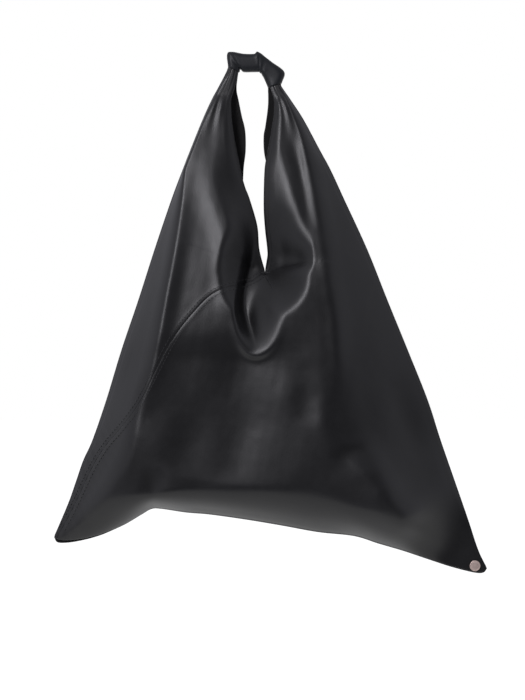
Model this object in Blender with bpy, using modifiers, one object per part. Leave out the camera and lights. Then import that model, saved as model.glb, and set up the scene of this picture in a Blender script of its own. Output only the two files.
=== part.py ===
"""A soft leather triangle bag, hanging from the underside of its handle.

Units are metres, +Z is up, +X is to the right as the bag is seen and the front faces -Y.
The origin is the hang point, in the middle of the handle sleeve's underside.
Two ears of leather run up from the belly, are gathered at their necks and join inside the sleeve.
Outlines are tables of shares: how far across, of BAG_WIDTH, and how far down, of BAG_DROP.
"""

import math

import bmesh
import bpy
import numpy as np
from mathutils import Vector
from mathutils.bvhtree import BVHTree

# Overall size: tip to tip across, and from the hang point down to the lower tip
BAG_WIDTH = 0.520
BAG_DROP = 0.600

# Leather, thread and the gap that neighbouring pieces keep
LEATHER = 0.0018
GAP = 0.0003
THREAD_RADIUS = 0.0004
THREAD_SEAT = 0.0004
SEAM_MARGIN = 0.004

# How far the front and the back of the bag stand off its middle plane, and how their facets round off
FRONT_SWELL = 0.054
BACK_SWELL = 0.048
FACET_BLEND = 0.009
TIP_REACH = 0.170

# The hollow around the foot of the mouth, and how far the mouth's edges stand off the middle plane
HOLLOW_REACH = 0.050
FLOOR_BLEND = 0.005
MOUTH_STAND = 0.0085

# Folds in the front and the back: how high each one stands and how wide it is
RIDGE_HEIGHT = 0.003
RIDGE_WIDTH = 0.010
SPINE_HEIGHT = 0.008
SPINE_WIDTH = 0.009
CREASE_DEPTH = 0.006
CREASE_WIDTH = 0.012

# Handle sleeve, and the round necks that let the handle fold over
SLEEVE_WIDTH = 0.0216
SLEEVE_DEPTH = 0.0168
SLEEVE_LEATHER = 0.0016
NECK_RADIUS = 0.008

# Rivet through the lower right tip
RIVET_RADIUS = 0.0064
RIVET_CAP_THICKNESS = 0.0016
RIVET_BASE_RADIUS = 0.0050
RIVET_BASE_THICKNESS = 0.0012
RIVET_STEM_RADIUS = 0.0015
RIVET_EDGE_ROUND = 0.0004
RIVET_FLAT = 0.034
RIVET_BLEND = 0.066
CUT_OVERRUN = 0.002

# Bar tacks at the foot of the mouth
TACK_LENGTH = 0.009
TACK_HEIGHT = 0.0022
TACK_THICKNESS = 0.0012

# How finely the skins are divided
MOUTH_ROWS = 13
SEAM_ROWS = 22
MAIN_COLUMNS = 22
EAR_COLUMNS = 9
SECTION_STEPS = 16
SMOOTH_STEPS = 12
ROW_CROWDING_SHARE = 1.5
SEAM_CROWDING_SHARE = 1.2
RIVET_STEPS = 24
SEAT_STEPS = 8
SEAT_ROUNDS = 6

# The sides of the bag, from the handle down to the tips
LEFT_EDGE_SHARES = [
    (-0.051, 0.000), (-0.070, 0.032), (-0.085, 0.056), (-0.106, 0.096), (-0.134, 0.156),
    (-0.152, 0.196), (-0.178, 0.256), (-0.217, 0.356), (-0.254, 0.456), (-0.293, 0.556),
    (-0.328, 0.656), (-0.360, 0.736), (-0.381, 0.776), (-0.397, 0.816), (-0.413, 0.856),
    (-0.434, 0.900), (-0.449, 0.930),
]
RIGHT_EDGE_SHARES = [
    (0.052, 0.000), (0.076, 0.032), (0.095, 0.056), (0.125, 0.096), (0.162, 0.156),
    (0.187, 0.196), (0.219, 0.256), (0.272, 0.356), (0.318, 0.456), (0.365, 0.556),
    (0.411, 0.656), (0.441, 0.736), (0.473, 0.816), (0.505, 0.896), (0.528, 0.956),
    (0.548, 0.992),
]

# The lower edge, from the left tip past the dimple to the right tip
BOTTOM_SHARES = [
    (-0.449, 0.930), (-0.441, 0.940), (-0.413, 0.940), (-0.376, 0.934), (-0.344, 0.926),
    (-0.321, 0.918), (-0.284, 0.903), (-0.247, 0.884), (-0.224, 0.873), (-0.201, 0.873),
    (-0.145, 0.880), (-0.090, 0.884), (-0.007, 0.894), (0.076, 0.906), (0.159, 0.919),
    (0.242, 0.927), (0.298, 0.942), (0.353, 0.956), (0.408, 0.972), (0.464, 0.988),
    (0.519, 1.000), (0.540, 1.000), (0.548, 0.992),
]

# The four edges of the mouth, from the handle down to its foot
FRONT_LEFT_MOUTH_SHARES = [
    (-0.026, 0.000), (-0.034, 0.032), (-0.042, 0.056), (-0.041, 0.092), (-0.036, 0.126),
    (-0.030, 0.156), (-0.018, 0.206), (-0.009, 0.234), (0.000, 0.254), (0.018, 0.308),
    (0.023, 0.356), (0.036, 0.398),
]
FRONT_RIGHT_MOUTH_SHARES = [
    (0.043, 0.000), (0.050, 0.032), (0.059, 0.056), (0.059, 0.084), (0.055, 0.108),
    (0.049, 0.138), (0.043, 0.166), (0.037, 0.198), (0.035, 0.268), (0.038, 0.314),
    (0.044, 0.366), (0.038, 0.398),
]
BACK_LEFT_MOUTH_SHARES = [
    (-0.026, 0.000), (-0.030, 0.032), (-0.025, 0.056), (-0.018, 0.086), (-0.010, 0.116),
    (-0.009, 0.156), (-0.014, 0.196), (-0.014, 0.256), (0.002, 0.326), (0.036, 0.398),
]
BACK_RIGHT_MOUTH_SHARES = [
    (0.043, 0.000), (0.045, 0.032), (0.045, 0.066), (0.039, 0.106), (0.035, 0.126),
    (0.036, 0.158), (0.044, 0.198), (0.048, 0.268), (0.048, 0.336), (0.038, 0.398),
]

# The slanting seams: in front to the left tip, behind to the right tip
FRONT_SEAM_SHARES = [
    (0.037, 0.400), (0.007, 0.418), (-0.021, 0.426), (-0.051, 0.433), (-0.083, 0.446),
    (-0.113, 0.470), (-0.152, 0.510), (-0.182, 0.550), (-0.212, 0.600), (-0.252, 0.665),
    (-0.292, 0.710), (-0.327, 0.745), (-0.360, 0.790), (-0.402, 0.866), (-0.443, 0.932),
]
BACK_SEAM_SHARES = [
    (0.037, 0.400), (0.067, 0.418), (0.095, 0.426), (0.125, 0.433), (0.157, 0.446),
    (0.187, 0.470), (0.226, 0.510), (0.262, 0.556), (0.300, 0.614), (0.345, 0.690),
    (0.390, 0.750), (0.435, 0.810), (0.490, 0.905), (0.541, 0.992),
]
MOUTH_FOOT_SHARES = (0.037, 0.399)

# Where the front turns from its middle to a facet on each side, and to its underside
LEFT_RIDGE_SHARES = [
    (-0.042, -0.012), (-0.078, 0.042), (-0.104, 0.074), (-0.129, 0.116), (-0.141, 0.176),
    (-0.152, 0.256), (-0.171, 0.362), (-0.198, 0.490), (-0.222, 0.590), (-0.252, 0.682),
    (-0.279, 0.756), (-0.316, 0.816), (-0.362, 0.872), (-0.404, 0.912), (-0.441, 0.936),
]
RIGHT_RIDGE_SHARES = [
    (0.048, -0.012), (0.065, 0.016), (0.088, 0.064), (0.104, 0.092), (0.120, 0.136),
    (0.134, 0.182), (0.145, 0.240), (0.157, 0.310), (0.171, 0.402), (0.185, 0.502),
    (0.194, 0.602), (0.196, 0.736), (0.233, 0.796), (0.325, 0.866), (0.429, 0.932),
    (0.533, 0.996),
]
UNDER_SHARES = [
    (-0.459, 0.938), (-0.413, 0.922), (-0.367, 0.902), (-0.321, 0.880), (-0.275, 0.864),
    (-0.228, 0.854), (-0.171, 0.848), (-0.097, 0.848), (0.055, 0.854), (0.157, 0.864),
    (0.222, 0.880), (0.286, 0.900), (0.372, 0.930), (0.480, 0.974), (0.547, 1.000),
]

# Where the back turns, seen through the front
BACK_LEFT_RIDGE_SHARES = [
    (-0.042, -0.012), (-0.058, 0.028), (-0.092, 0.096), (-0.122, 0.176), (-0.141, 0.276),
    (-0.159, 0.386), (-0.180, 0.496), (-0.198, 0.606), (-0.233, 0.716), (-0.302, 0.812),
    (-0.381, 0.892), (-0.441, 0.936),
]
BACK_RIGHT_RIDGE_SHARES = [
    (0.048, -0.012), (0.069, 0.032), (0.099, 0.092), (0.134, 0.176), (0.166, 0.276),
    (0.196, 0.396), (0.224, 0.526), (0.252, 0.656), (0.312, 0.776), (0.422, 0.904),
    (0.533, 0.996),
]
BACK_UNDER_SHARES = [
    (-0.459, 0.938), (-0.390, 0.906), (-0.321, 0.872), (-0.228, 0.840), (-0.113, 0.828),
    (0.048, 0.832), (0.187, 0.850), (0.302, 0.890), (0.418, 0.938), (0.547, 1.000),
]

# Lines that the folds follow, in front
SPINE_SHARES = [(0.030, 0.400), (0.020, 0.450), (0.010, 0.530)]
LOWER_CREASE_SHARES = [(0.120, 0.600), (0.128, 0.660), (0.152, 0.735), (0.178, 0.762), (0.225, 0.756)]
DIMPLE_SHARES = [(-0.224, 0.873), (-0.212, 0.830), (-0.200, 0.780)]
BELLY_VALLEY_SHARES = [(-0.120, 0.560), (-0.150, 0.660), (-0.165, 0.740)]

# The rims of the hollows, clockwise from the left ear: across, down, and how far in the skin falls,
# of HOLLOW_REACH
FRONT_RIM_SHARES = [
    (-0.030, 0.096, 0.28), (-0.058, 0.140, 0.48), (-0.083, 0.192, 0.60), (-0.085, 0.240, 0.60),
    (-0.042, 0.316, 0.30), (-0.039, 0.406, 0.24), (-0.042, 0.452, 0.28), (-0.042, 0.500, 0.32),
    (-0.028, 0.540, 0.40), (-0.005, 0.562, 0.52), (0.021, 0.564, 0.60), (0.048, 0.546, 0.72),
    (0.074, 0.512, 0.84), (0.099, 0.462, 0.96), (0.125, 0.420, 1.00), (0.152, 0.376, 1.00),
    (0.143, 0.342, 0.92), (0.122, 0.306, 0.80), (0.095, 0.266, 0.68), (0.067, 0.228, 0.52),
    (0.039, 0.156, 0.24), (0.044, 0.116, 0.20),
]
BACK_RIM_SHARES = [
    (-0.030, 0.092, 0.32), (-0.062, 0.156, 0.52), (-0.076, 0.236, 0.68), (-0.067, 0.316, 0.76),
    (-0.053, 0.396, 0.72), (-0.044, 0.466, 0.60), (-0.021, 0.524, 0.52), (0.021, 0.546, 0.52),
    (0.072, 0.532, 0.56), (0.113, 0.486, 0.60), (0.132, 0.416, 0.68), (0.125, 0.336, 0.64),
    (0.104, 0.266, 0.56), (0.081, 0.196, 0.44), (0.053, 0.116, 0.28),
]

# How high the hollows' floor stands at each drop, of the full swell, and the mouth's edges, of MOUTH_STAND
FLOOR_DROP_SHARES = [0.056, 0.156, 0.256, 0.356, 0.392, 0.426, 0.456, 0.496, 0.536, 0.570]
FLOOR_SHARES = [0.15, 0.17, 0.15, 0.11, 0.07, 0.22, 0.33, 0.48, 0.63, 0.78]
MOUTH_DROP_SHARES = [0.00, 0.05, 0.15, 0.28, 0.36, 0.40]
MOUTH_STAND_SHARES = [0.47, 0.76, 1.00, 0.94, 0.65, 0.35]
MOUTH_SLOPE_SHARE = 0.85

# How much of its full swell the bag has at each drop
SWELL_DROP_SHARES = [0.00, 0.05, 0.10, 0.20, 0.30, 0.40, 0.55, 0.75, 0.90, 1.00]
SWELL_SHARES = [0.12, 0.16, 0.24, 0.42, 0.62, 0.80, 0.94, 1.00, 0.92, 0.62]
CROWN_SHARE = 0.10
PAST_RIDGE_SHARE = 3.0
EAR_LENGTH_SHARE = 0.36
BOTTOM_PULL_SHARE = 4.0
STEEP_SHARE = 2.2
NECK_FLARE_SHARE = 0.30
NECK_TOP_SHARE = 0.95
MARGIN_SHARE = 0.25
THREAD_END_SHARE = 0.93
RIVET_SHARES = (0.521, 0.987)

# The handle sleeve's sections, in shares of SLEEVE_WIDTH: outer end and inner end of each
SLEEVE_SHARES = [
    ((-1.17, 0.28), (-0.53, 0.00)),
    ((-1.17, 1.08), (-0.46, 0.13)),
    ((-0.28, 1.00), (-0.28, 0.00)),
    ((0.28, 1.00), (0.28, 0.00)),
    ((0.53, 1.11), (0.55, -0.02)),
    ((1.25, 0.56), (0.76, -0.23)),
    ((1.96, 0.00), (0.90, -0.51)),
    ((1.83, -0.61), (1.06, -0.89)),
]
HANDLE_FOOT_SHARE = 0.915
SQUARENESS_SHARE = 0.62
PLEAT_SHARE = 0.07
PLEATS = 5

FRONT = -1
BACK = 1

HANDLE_FOOT = HANDLE_FOOT_SHARE * SLEEVE_WIDTH
HINGE_DROP = HANDLE_FOOT + GAP + NECK_RADIUS
NECK_TOP = -HINGE_DROP + NECK_TOP_SHARE * NECK_RADIUS


def clear_scene():
    for thing in list(bpy.data.objects):
        bpy.data.objects.remove(thing, do_unlink=True)


def new_collection(name):
    group = bpy.data.collections.new(name)
    bpy.context.scene.collection.children.link(group)
    return group


def principled(name, colour, roughness, metallic=0.0):
    material = bpy.data.materials.new(name)
    material.use_nodes = True
    shader = material.node_tree.nodes["Principled BSDF"]
    shader.inputs["Base Color"].default_value = (*colour, 1.0)
    shader.inputs["Roughness"].default_value = roughness
    shader.inputs["Metallic"].default_value = metallic
    material.diffuse_color = (*colour, 1.0)
    return material


def add_mesh(name, vertices, faces, material, group):
    """Make one closed, smooth-shaded object from plain lists"""
    mesh = bpy.data.meshes.new(name)
    mesh.from_pydata(vertices, [], faces)
    shell = bmesh.new()
    shell.from_mesh(mesh)
    bmesh.ops.recalc_face_normals(shell, faces=shell.faces)
    shell.to_mesh(mesh)
    shell.free()
    mesh.shade_smooth()
    mesh.set_sharp_from_angle(angle=math.radians(50))
    mesh.materials.append(material)
    thing = bpy.data.objects.new(name, mesh)
    group.objects.link(thing)
    return thing


def smooth_line(shares):
    """Points in metres, (x, z), along a smooth line through a table of shares"""
    knots = np.array(shares) * np.array([BAG_WIDTH, -BAG_DROP])
    knots = np.vstack([knots[0], knots, knots[-1]])
    steps = np.linspace(0.0, 1.0, SMOOTH_STEPS, endpoint=False)[:, None]
    pieces = []
    for before, start, end, after in zip(knots, knots[1:], knots[2:], knots[3:]):
        bend = 2 * before - 5 * start + 4 * end - after
        twist = 3 * (start - end) + after - before
        pieces.append(0.5 * (2 * start + (end - before) * steps + bend * steps**2 + twist * steps**3))
    return np.vstack([*pieces, knots[-1][None]])


def below(line, level):
    """The stretch of a falling line that lies under a level"""
    first = np.array([np.interp(-level, -line[:, 1], line[:, 0]), level])
    return np.vstack([first, line[line[:, 1] < level]])


def along(line, shares):
    """Points at shares of a line's length"""
    lengths = np.concatenate([[0.0], np.cumsum(np.linalg.norm(np.diff(line, axis=0), axis=1))])
    places = shares * lengths[-1]
    return np.stack([np.interp(places, lengths, line[:, axis]) for axis in (0, 1)], axis=-1)


def row_shares():
    """Where the rows fall along the mouth, closer at the neck, and along the seam below it"""
    mouth = (np.arange(MOUTH_ROWS) / MOUTH_ROWS) ** ROW_CROWDING_SHARE
    return mouth, np.linspace(0.0, 1.0, SEAM_ROWS + 1) ** SEAM_CROWDING_SHARE


def inner_side(mouth_line, seam_line):
    """A panel's side that follows its mouth edge and then its seam, a point for each row"""
    mouth, seam = row_shares()
    return np.vstack([along(mouth_line, mouth), along(seam_line, seam)])


def outer_side(edge_line):
    """A panel's side that follows the bag's edge, a point for each row"""
    mouth, seam = row_shares()
    shares = np.concatenate([EAR_LENGTH_SHARE * mouth, EAR_LENGTH_SHARE + (1 - EAR_LENGTH_SHARE) * seam])
    return along(edge_line, shares)


def across_at(line, z):
    """How far across a falling line lies at height z"""
    return np.interp(-z, -line[:, 1], line[:, 0])


def distance_to(line, x, z):
    """Shortest distance from each point to a line of straight steps"""
    nearest = np.full(np.shape(x), np.inf)
    for start, end in zip(line, line[1:]):
        run = end - start
        share = ((x - start[0]) * run[0] + (z - start[1]) * run[1]) / max(run @ run, GAP**2)
        share = np.clip(share, 0.0, 1.0)
        gap = np.hypot(x - start[0] - share * run[0], z - start[1] - share * run[1])
        nearest = np.minimum(nearest, gap)
    return nearest


def fold(shares, x, z, height, width):
    """A rounded ridge, or a valley if its height is negative"""
    knots = np.array(shares) * np.array([BAG_WIDTH, -BAG_DROP])
    return height * np.exp(-((distance_to(knots, x, z) / width) ** 2))


def soft_min(first, second, blend):
    """The lower of two heights, with the corner between them rounded"""
    share = np.clip(0.5 + 0.5 * (second - first) / blend, 0.0, 1.0)
    return second * (1.0 - share) + first * share - blend * share * (1.0 - share)


def ease(share):
    held = np.clip(share, 0.0, 1.0)
    return held * held * (3.0 - 2.0 * held)


LEFT_EDGE = smooth_line(LEFT_EDGE_SHARES)
RIGHT_EDGE = smooth_line(RIGHT_EDGE_SHARES)
BOTTOM = smooth_line(BOTTOM_SHARES)
FRONT_LEFT_MOUTH = smooth_line(FRONT_LEFT_MOUTH_SHARES)
FRONT_RIGHT_MOUTH = smooth_line(FRONT_RIGHT_MOUTH_SHARES)
BACK_LEFT_MOUTH = smooth_line(BACK_LEFT_MOUTH_SHARES)
BACK_RIGHT_MOUTH = smooth_line(BACK_RIGHT_MOUTH_SHARES)
FRONT_SEAM = smooth_line(FRONT_SEAM_SHARES)
BACK_SEAM = smooth_line(BACK_SEAM_SHARES)
LEFT_RIDGE = smooth_line(LEFT_RIDGE_SHARES)
RIGHT_RIDGE = smooth_line(RIGHT_RIDGE_SHARES)
UNDER = smooth_line(UNDER_SHARES)
BACK_LEFT_RIDGE = smooth_line(BACK_LEFT_RIDGE_SHARES)
BACK_RIGHT_RIDGE = smooth_line(BACK_RIGHT_RIDGE_SHARES)
BACK_UNDER = smooth_line(BACK_UNDER_SHARES)


def facet(run, length, level):
    """A height that rises from nothing at the bag's edge to its level at a ridge, and on past it"""
    return level * np.clip(run / np.maximum(length, SEAM_MARGIN), 0.0, PAST_RIDGE_SHARE)


def swell(x, z, full, left_ridge, right_ridge, under):
    """The bag's plain stand-off from its middle plane: a middle, a facet on each side and an underside"""
    left = across_at(LEFT_EDGE, z) + SEAM_MARGIN
    right = across_at(RIGHT_EDGE, z) - SEAM_MARGIN
    foot = np.interp(x, BOTTOM[:, 0], BOTTOM[:, 1]) + SEAM_MARGIN
    start = across_at(left_ridge, z)
    end = across_at(right_ridge, z)
    left_tip = np.hypot(x - LEFT_EDGE[-1, 0], z - LEFT_EDGE[-1, 1])
    right_tip = np.hypot(x - RIGHT_EDGE[-1, 0], z - RIGHT_EDGE[-1, 1])
    tips = np.sin(0.5 * math.pi * np.clip(np.minimum(left_tip, right_tip) / TIP_REACH, 0.0, 1.0))
    middle = 2.0 * np.clip((x - start) / np.maximum(end - start, SEAM_MARGIN), 0.0, 1.0) - 1.0
    level = full * tips * np.interp(-z / BAG_DROP, SWELL_DROP_SHARES, SWELL_SHARES)
    level = np.maximum(level * (1.0 + CROWN_SHARE * (1.0 - middle**2)), GAP)
    blend = np.minimum(FACET_BLEND, level / 2)
    sides = soft_min(facet(x - left, start - left, level), facet(right - x, right - end, level), blend)
    top = np.interp(x, under[:, 0], under[:, 1])
    base = soft_min(facet(z - foot, top - foot, level), level, blend)
    depth = np.maximum(soft_min(sides, base, blend), 0.0)
    return np.clip(depth / level, 0.0, 1.0), depth


def within(loop, x, z):
    """Which points lie inside a closed loop"""
    found = np.zeros(np.shape(x), bool)
    for start, end in zip(loop, np.roll(loop, -1, axis=0)):
        rise = end[1] - start[1]
        spans = (start[1] > z) != (end[1] > z)
        found ^= spans & ((x - start[0]) * abs(rise) < (z - start[1]) * (end[0] - start[0]) * np.sign(rise))
    return found


def hollowed(x, z, depth, full, rim_shares):
    """Sink the skin to the floor of a hollow, inside the hollow's rim"""
    rim = np.array(rim_shares) * np.array([BAG_WIDTH, -BAG_DROP, HOLLOW_REACH])
    fallen = np.full(np.shape(x), np.inf)
    for start, end in zip(rim, rim[1:]):
        here = distance_to([start[:2], end[:2]], x, z)
        fallen = np.minimum(fallen, 2 * here / (start[2] + end[2]))
    sink = ease(np.where(within(rim[:, :2], x, z), fallen, 0.0))
    floor = full * np.interp(-z / BAG_DROP, FLOOR_DROP_SHARES, FLOOR_SHARES)
    return depth * (1.0 - sink) + np.minimum(floor, depth) * sink


def beside_mouth(x, z, depth, left_mouth, right_mouth):
    """Bring the skin down towards the mouth's edges"""
    beside = np.minimum(distance_to(left_mouth, x, z), distance_to(right_mouth, x, z))
    stand = MOUTH_STAND * np.interp(-z / BAG_DROP, MOUTH_DROP_SHARES, MOUTH_STAND_SHARES)
    return soft_min(depth, stand + MOUTH_SLOPE_SHARE * beside, FLOOR_BLEND)


def held_in(x, z, depth):
    """Keep the skin flat under the rivet, and inside the round necks at the hinge"""
    reach = np.hypot(x - RIVET_SHARES[0] * BAG_WIDTH, z + RIVET_SHARES[1] * BAG_DROP)
    depth = np.maximum(depth, 0.0) * ease((reach - RIVET_FLAT) / (RIVET_BLEND - RIVET_FLAT))
    above = np.clip(z + HINGE_DROP, 0.0, NECK_RADIUS)
    under = np.maximum(-z - HINGE_DROP, 0.0)
    neck = np.sqrt(NECK_RADIUS**2 - above**2) + NECK_FLARE_SHARE * under
    return np.clip(depth, 0.0, np.maximum(neck - LEATHER - GAP / 2, 0.0))


def front_depth(x, z):
    """How far the front's inner side stands in front of the middle plane"""
    edge, depth = swell(x, z, FRONT_SWELL, LEFT_RIDGE, RIGHT_RIDGE, UNDER)
    depth = hollowed(x, z, depth, FRONT_SWELL, FRONT_RIM_SHARES)
    depth = depth + edge * fold(LEFT_RIDGE_SHARES, x, z, RIDGE_HEIGHT, RIDGE_WIDTH)
    depth = depth + edge * fold(RIGHT_RIDGE_SHARES, x, z, RIDGE_HEIGHT, RIDGE_WIDTH)
    depth = depth + edge * fold(SPINE_SHARES, x, z, SPINE_HEIGHT, SPINE_WIDTH)
    depth = depth + edge * fold(LOWER_CREASE_SHARES, x, z, -CREASE_DEPTH, CREASE_WIDTH)
    depth = depth + edge * fold(DIMPLE_SHARES, x, z, -CREASE_DEPTH, CREASE_WIDTH)
    depth = depth + edge * fold(BELLY_VALLEY_SHARES, x, z, -CREASE_DEPTH, RIDGE_WIDTH + CREASE_WIDTH)
    return held_in(x, z, beside_mouth(x, z, depth, FRONT_LEFT_MOUTH, FRONT_RIGHT_MOUTH))


def back_depth(x, z):
    """How far the back's inner side stands behind the middle plane"""
    edge, depth = swell(x, z, BACK_SWELL, BACK_LEFT_RIDGE, BACK_RIGHT_RIDGE, BACK_UNDER)
    depth = hollowed(x, z, depth, BACK_SWELL, BACK_RIM_SHARES)
    depth = depth + edge * fold(BACK_LEFT_RIDGE_SHARES, x, z, RIDGE_HEIGHT, RIDGE_WIDTH)
    depth = depth + edge * fold(BACK_RIGHT_RIDGE_SHARES, x, z, RIDGE_HEIGHT, RIDGE_WIDTH)
    return held_in(x, z, beside_mouth(x, z, depth, BACK_LEFT_MOUTH, BACK_RIGHT_MOUTH))


def slope(depth_of, x, z):
    """The skin's slope across and up, from its depth on either side"""
    across = (depth_of(x + GAP, z) - depth_of(x - GAP, z)) / (2 * GAP)
    upward = (depth_of(x, z + GAP) - depth_of(x, z - GAP)) / (2 * GAP)
    return across, upward


def panel_grid(left, right, columns, pulled_to_bottom):
    """Rows of (x, z) points between two sides that fall from the neck to a tip"""
    count = len(left)
    grid = np.zeros((count, columns + 1, 2))
    for row in range(count):
        length = np.linalg.norm(right[row] - left[row])
        margin = min(SEAM_MARGIN / length, MARGIN_SHARE)
        inner = np.linspace(margin, 1.0 - margin, columns - 1)
        over = np.concatenate([[0.0], inner, [1.0]])[:, None]
        grid[row] = left[row] * (1.0 - over) + right[row] * over
        if pulled_to_bottom:
            last = left[-1] * (1.0 - over) + right[-1] * over
            lift = np.interp(last[:, 0], BOTTOM[:, 0], BOTTOM[:, 1]) - last[:, 1]
            grid[row, :, 1] += lift * (row / (count - 1)) ** BOTTOM_PULL_SHARE
    return grid


def eased_off(line, side):
    """A seam line moved sideways by half the gap between its two panels"""
    run = np.gradient(line, axis=0)
    normal = np.stack([-run[:, 1], run[:, 0]], axis=-1)
    normal = normal / np.linalg.norm(normal, axis=1)[:, None]
    return line + side * normal * GAP / 2


def sheet(name, grid, depth_of, face, material, group):
    """One panel of leather: a skin over the grid, drawn straight back to its thickness"""
    x = grid[..., 0]
    z = grid[..., 1]
    depth = depth_of(x, z)
    across, upward = slope(depth_of, x, z)
    steep = np.minimum(np.sqrt(1.0 + across**2 + upward**2), STEEP_SHARE)
    thick = np.minimum(LEATHER * steep, LEATHER + depth)
    outer = GAP / 2 + LEATHER + depth
    rows, columns = x.shape
    vertices = []
    for layer in (outer, outer - thick):
        vertices += np.stack([x, face * layer, z], axis=-1).reshape(-1, 3).tolist()
    count = rows * columns

    def corner(row, column, layer):
        return layer * count + row * columns + column

    faces = []
    for row in range(rows - 1):
        for column in range(columns - 1):
            for layer in (0, 1):
                a = corner(row, column, layer)
                b = corner(row, column + 1, layer)
                c = corner(row + 1, column + 1, layer)
                d = corner(row + 1, column, layer)
                turned = (a, b, c, d) if layer == 0 else (d, c, b, a)
                start = 0 if layer == 0 else 1
                ring = turned[start:] + turned[:start]
                faces += [(ring[0], ring[1], ring[2]), (ring[0], ring[2], ring[3])]
    rim = [(0, column) for column in range(columns - 1)]
    rim += [(row, columns - 1) for row in range(rows - 1)]
    rim += [(rows - 1, column) for column in range(columns - 1, 0, -1)]
    rim += [(row, 0) for row in range(rows - 1, 0, -1)]
    for (row, column), (next_row, next_column) in zip(rim, rim[1:] + rim[:1]):
        near = corner(row, column, 0)
        following = corner(next_row, next_column, 0)
        far = corner(row, column, 1)
        far_following = corner(next_row, next_column, 1)
        faces += [(near, far, far_following), (near, far_following, following)]
    return add_mesh(name, vertices, faces, material, group)


def tube(name, points, radius, material, group):
    curve = bpy.data.curves.new(name, "CURVE")
    curve.dimensions = "3D"
    curve.bevel_depth = radius
    curve.bevel_resolution = 0
    curve.use_fill_caps = True
    line = curve.splines.new("POLY")
    line.points.add(len(points) - 1)
    for knot, place in zip(line.points, points):
        knot.co = (*place, 1.0)
    curve.materials.append(material)
    thing = bpy.data.objects.new(name, curve)
    group.objects.link(thing)
    return thing


def skin_tree(panel):
    vertices = [vertex.co for vertex in panel.data.vertices]
    return BVHTree.FromPolygons(vertices, [tuple(polygon.vertices) for polygon in panel.data.polygons])


def seated(points, panels, face):
    """Lift a thread's points straight out until the thread just clears the skins beneath it"""
    skins = [skin_tree(panel) for panel in panels]
    clear = THREAD_RADIUS + THREAD_SEAT
    steps = [step / SEAT_STEPS for step in range(SEAT_STEPS + 1)]
    for _ in range(SEAT_ROUNDS):
        lifts = [0.0] * len(points)
        for index in range(len(points) - 1):
            places = [points[index].lerp(points[index + 1], step) for step in steps]
            near = min(skin.find_nearest(place)[3] for skin in skins for place in places)
            lift = max(clear - near, 0.0)
            lifts[index] = max(lifts[index], lift)
            lifts[index + 1] = max(lifts[index + 1], lift)
        points = [point + Vector((0.0, face * lift, 0.0)) for point, lift in zip(points, lifts)]
    return points


def seam_thread(name, grid, column, depth_of, panels, face, material, group):
    """A row of stitching that lies on a panel, one margin in from its seam"""
    last_row = int(THREAD_END_SHARE * len(grid))
    points = []
    for x, z in grid[MOUTH_ROWS + 1:last_row, column]:
        across, upward = slope(depth_of, x, z)
        normal = Vector((-across, face, -upward)).normalized()
        place = Vector((x, face * (GAP / 2 + LEATHER + depth_of(x, z)), z))
        points.append(place + normal * (THREAD_RADIUS + THREAD_SEAT))
    return tube(name, seated(points, panels, face), THREAD_RADIUS, material, group)


def section(outer, inner, half_depth, pleat_share=0.0):
    """A rounded box section in a plane that holds the Y axis, from its inner to its outer end"""
    outer = np.array(outer)
    inner = np.array(inner)
    middle = (outer + inner) / 2
    reach = (outer - inner) / 2
    angles = (np.arange(SECTION_STEPS) + 0.5) * 2 * math.pi / SECTION_STEPS
    over = np.sign(np.cos(angles)) * np.abs(np.cos(angles)) ** SQUARENESS_SHARE
    deep = np.sign(np.sin(angles)) * np.abs(np.sin(angles)) ** SQUARENESS_SHARE
    pleat = 1.0 - pleat_share * (0.5 + 0.5 * np.cos(PLEATS * angles))
    over = over / over.max() * pleat
    deep = deep / deep.max() * pleat
    return [
        (middle[0] + reach[0] * a, half_depth * b, middle[1] + reach[1] * a)
        for a, b in zip(over, deep)
    ]


def skin_between(rings, start):
    """Quads along a run of sections whose points start at an index"""
    faces = []
    for ring in range(len(rings) - 1):
        for step in range(SECTION_STEPS):
            after = (step + 1) % SECTION_STEPS
            a = start + ring * SECTION_STEPS
            b = a + SECTION_STEPS
            faces.append((a + step, a + after, b + after, b + step))
    return faces


def sleeve_ends(inset):
    """Outer and inner end of each of the sleeve's sections, drawn in by an inset"""
    ends = []
    for outer, inner in SLEEVE_SHARES:
        outer = np.array(outer) * SLEEVE_WIDTH
        inner = np.array(inner) * SLEEVE_WIDTH
        step = (outer - inner) / np.linalg.norm(outer - inner) * inset
        ends.append((outer - step, inner + step))
    return ends


def make_sleeve(material, group):
    """The leather sleeve over the joined ears, open at both ends"""
    half = SLEEVE_DEPTH / 2
    outside = [section(outer, inner, half) for outer, inner in sleeve_ends(0.0)]
    inside_half = half - SLEEVE_LEATHER
    inside = [section(outer, inner, inside_half) for outer, inner in sleeve_ends(SLEEVE_LEATHER)]
    vertices = [point for ring in outside + inside for point in ring]
    faces = skin_between(outside, 0)
    count = len(outside) * SECTION_STEPS
    faces += [tuple(reversed(face)) for face in skin_between(inside, count)]
    for first in (0, count - SECTION_STEPS):
        for step in range(SECTION_STEPS):
            after = (step + 1) % SECTION_STEPS
            near = (first + step, first + after)
            far = (first + after + count, first + step + count)
            faces.append(near + far)
    return add_mesh("handle_sleeve", vertices, faces, material, group)


def make_sleeve_thread(material, group):
    """The stitching that closes the sleeve, along the middle of its back"""
    out = SLEEVE_DEPTH / 2 + GAP + THREAD_RADIUS
    points = []
    for outer, inner in sleeve_ends(0.0):
        middle = (outer + inner) / 2
        points.append((middle[0], out, middle[1]))
    return tube("sleeve_thread", points, THREAD_RADIUS, material, group)


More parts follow.
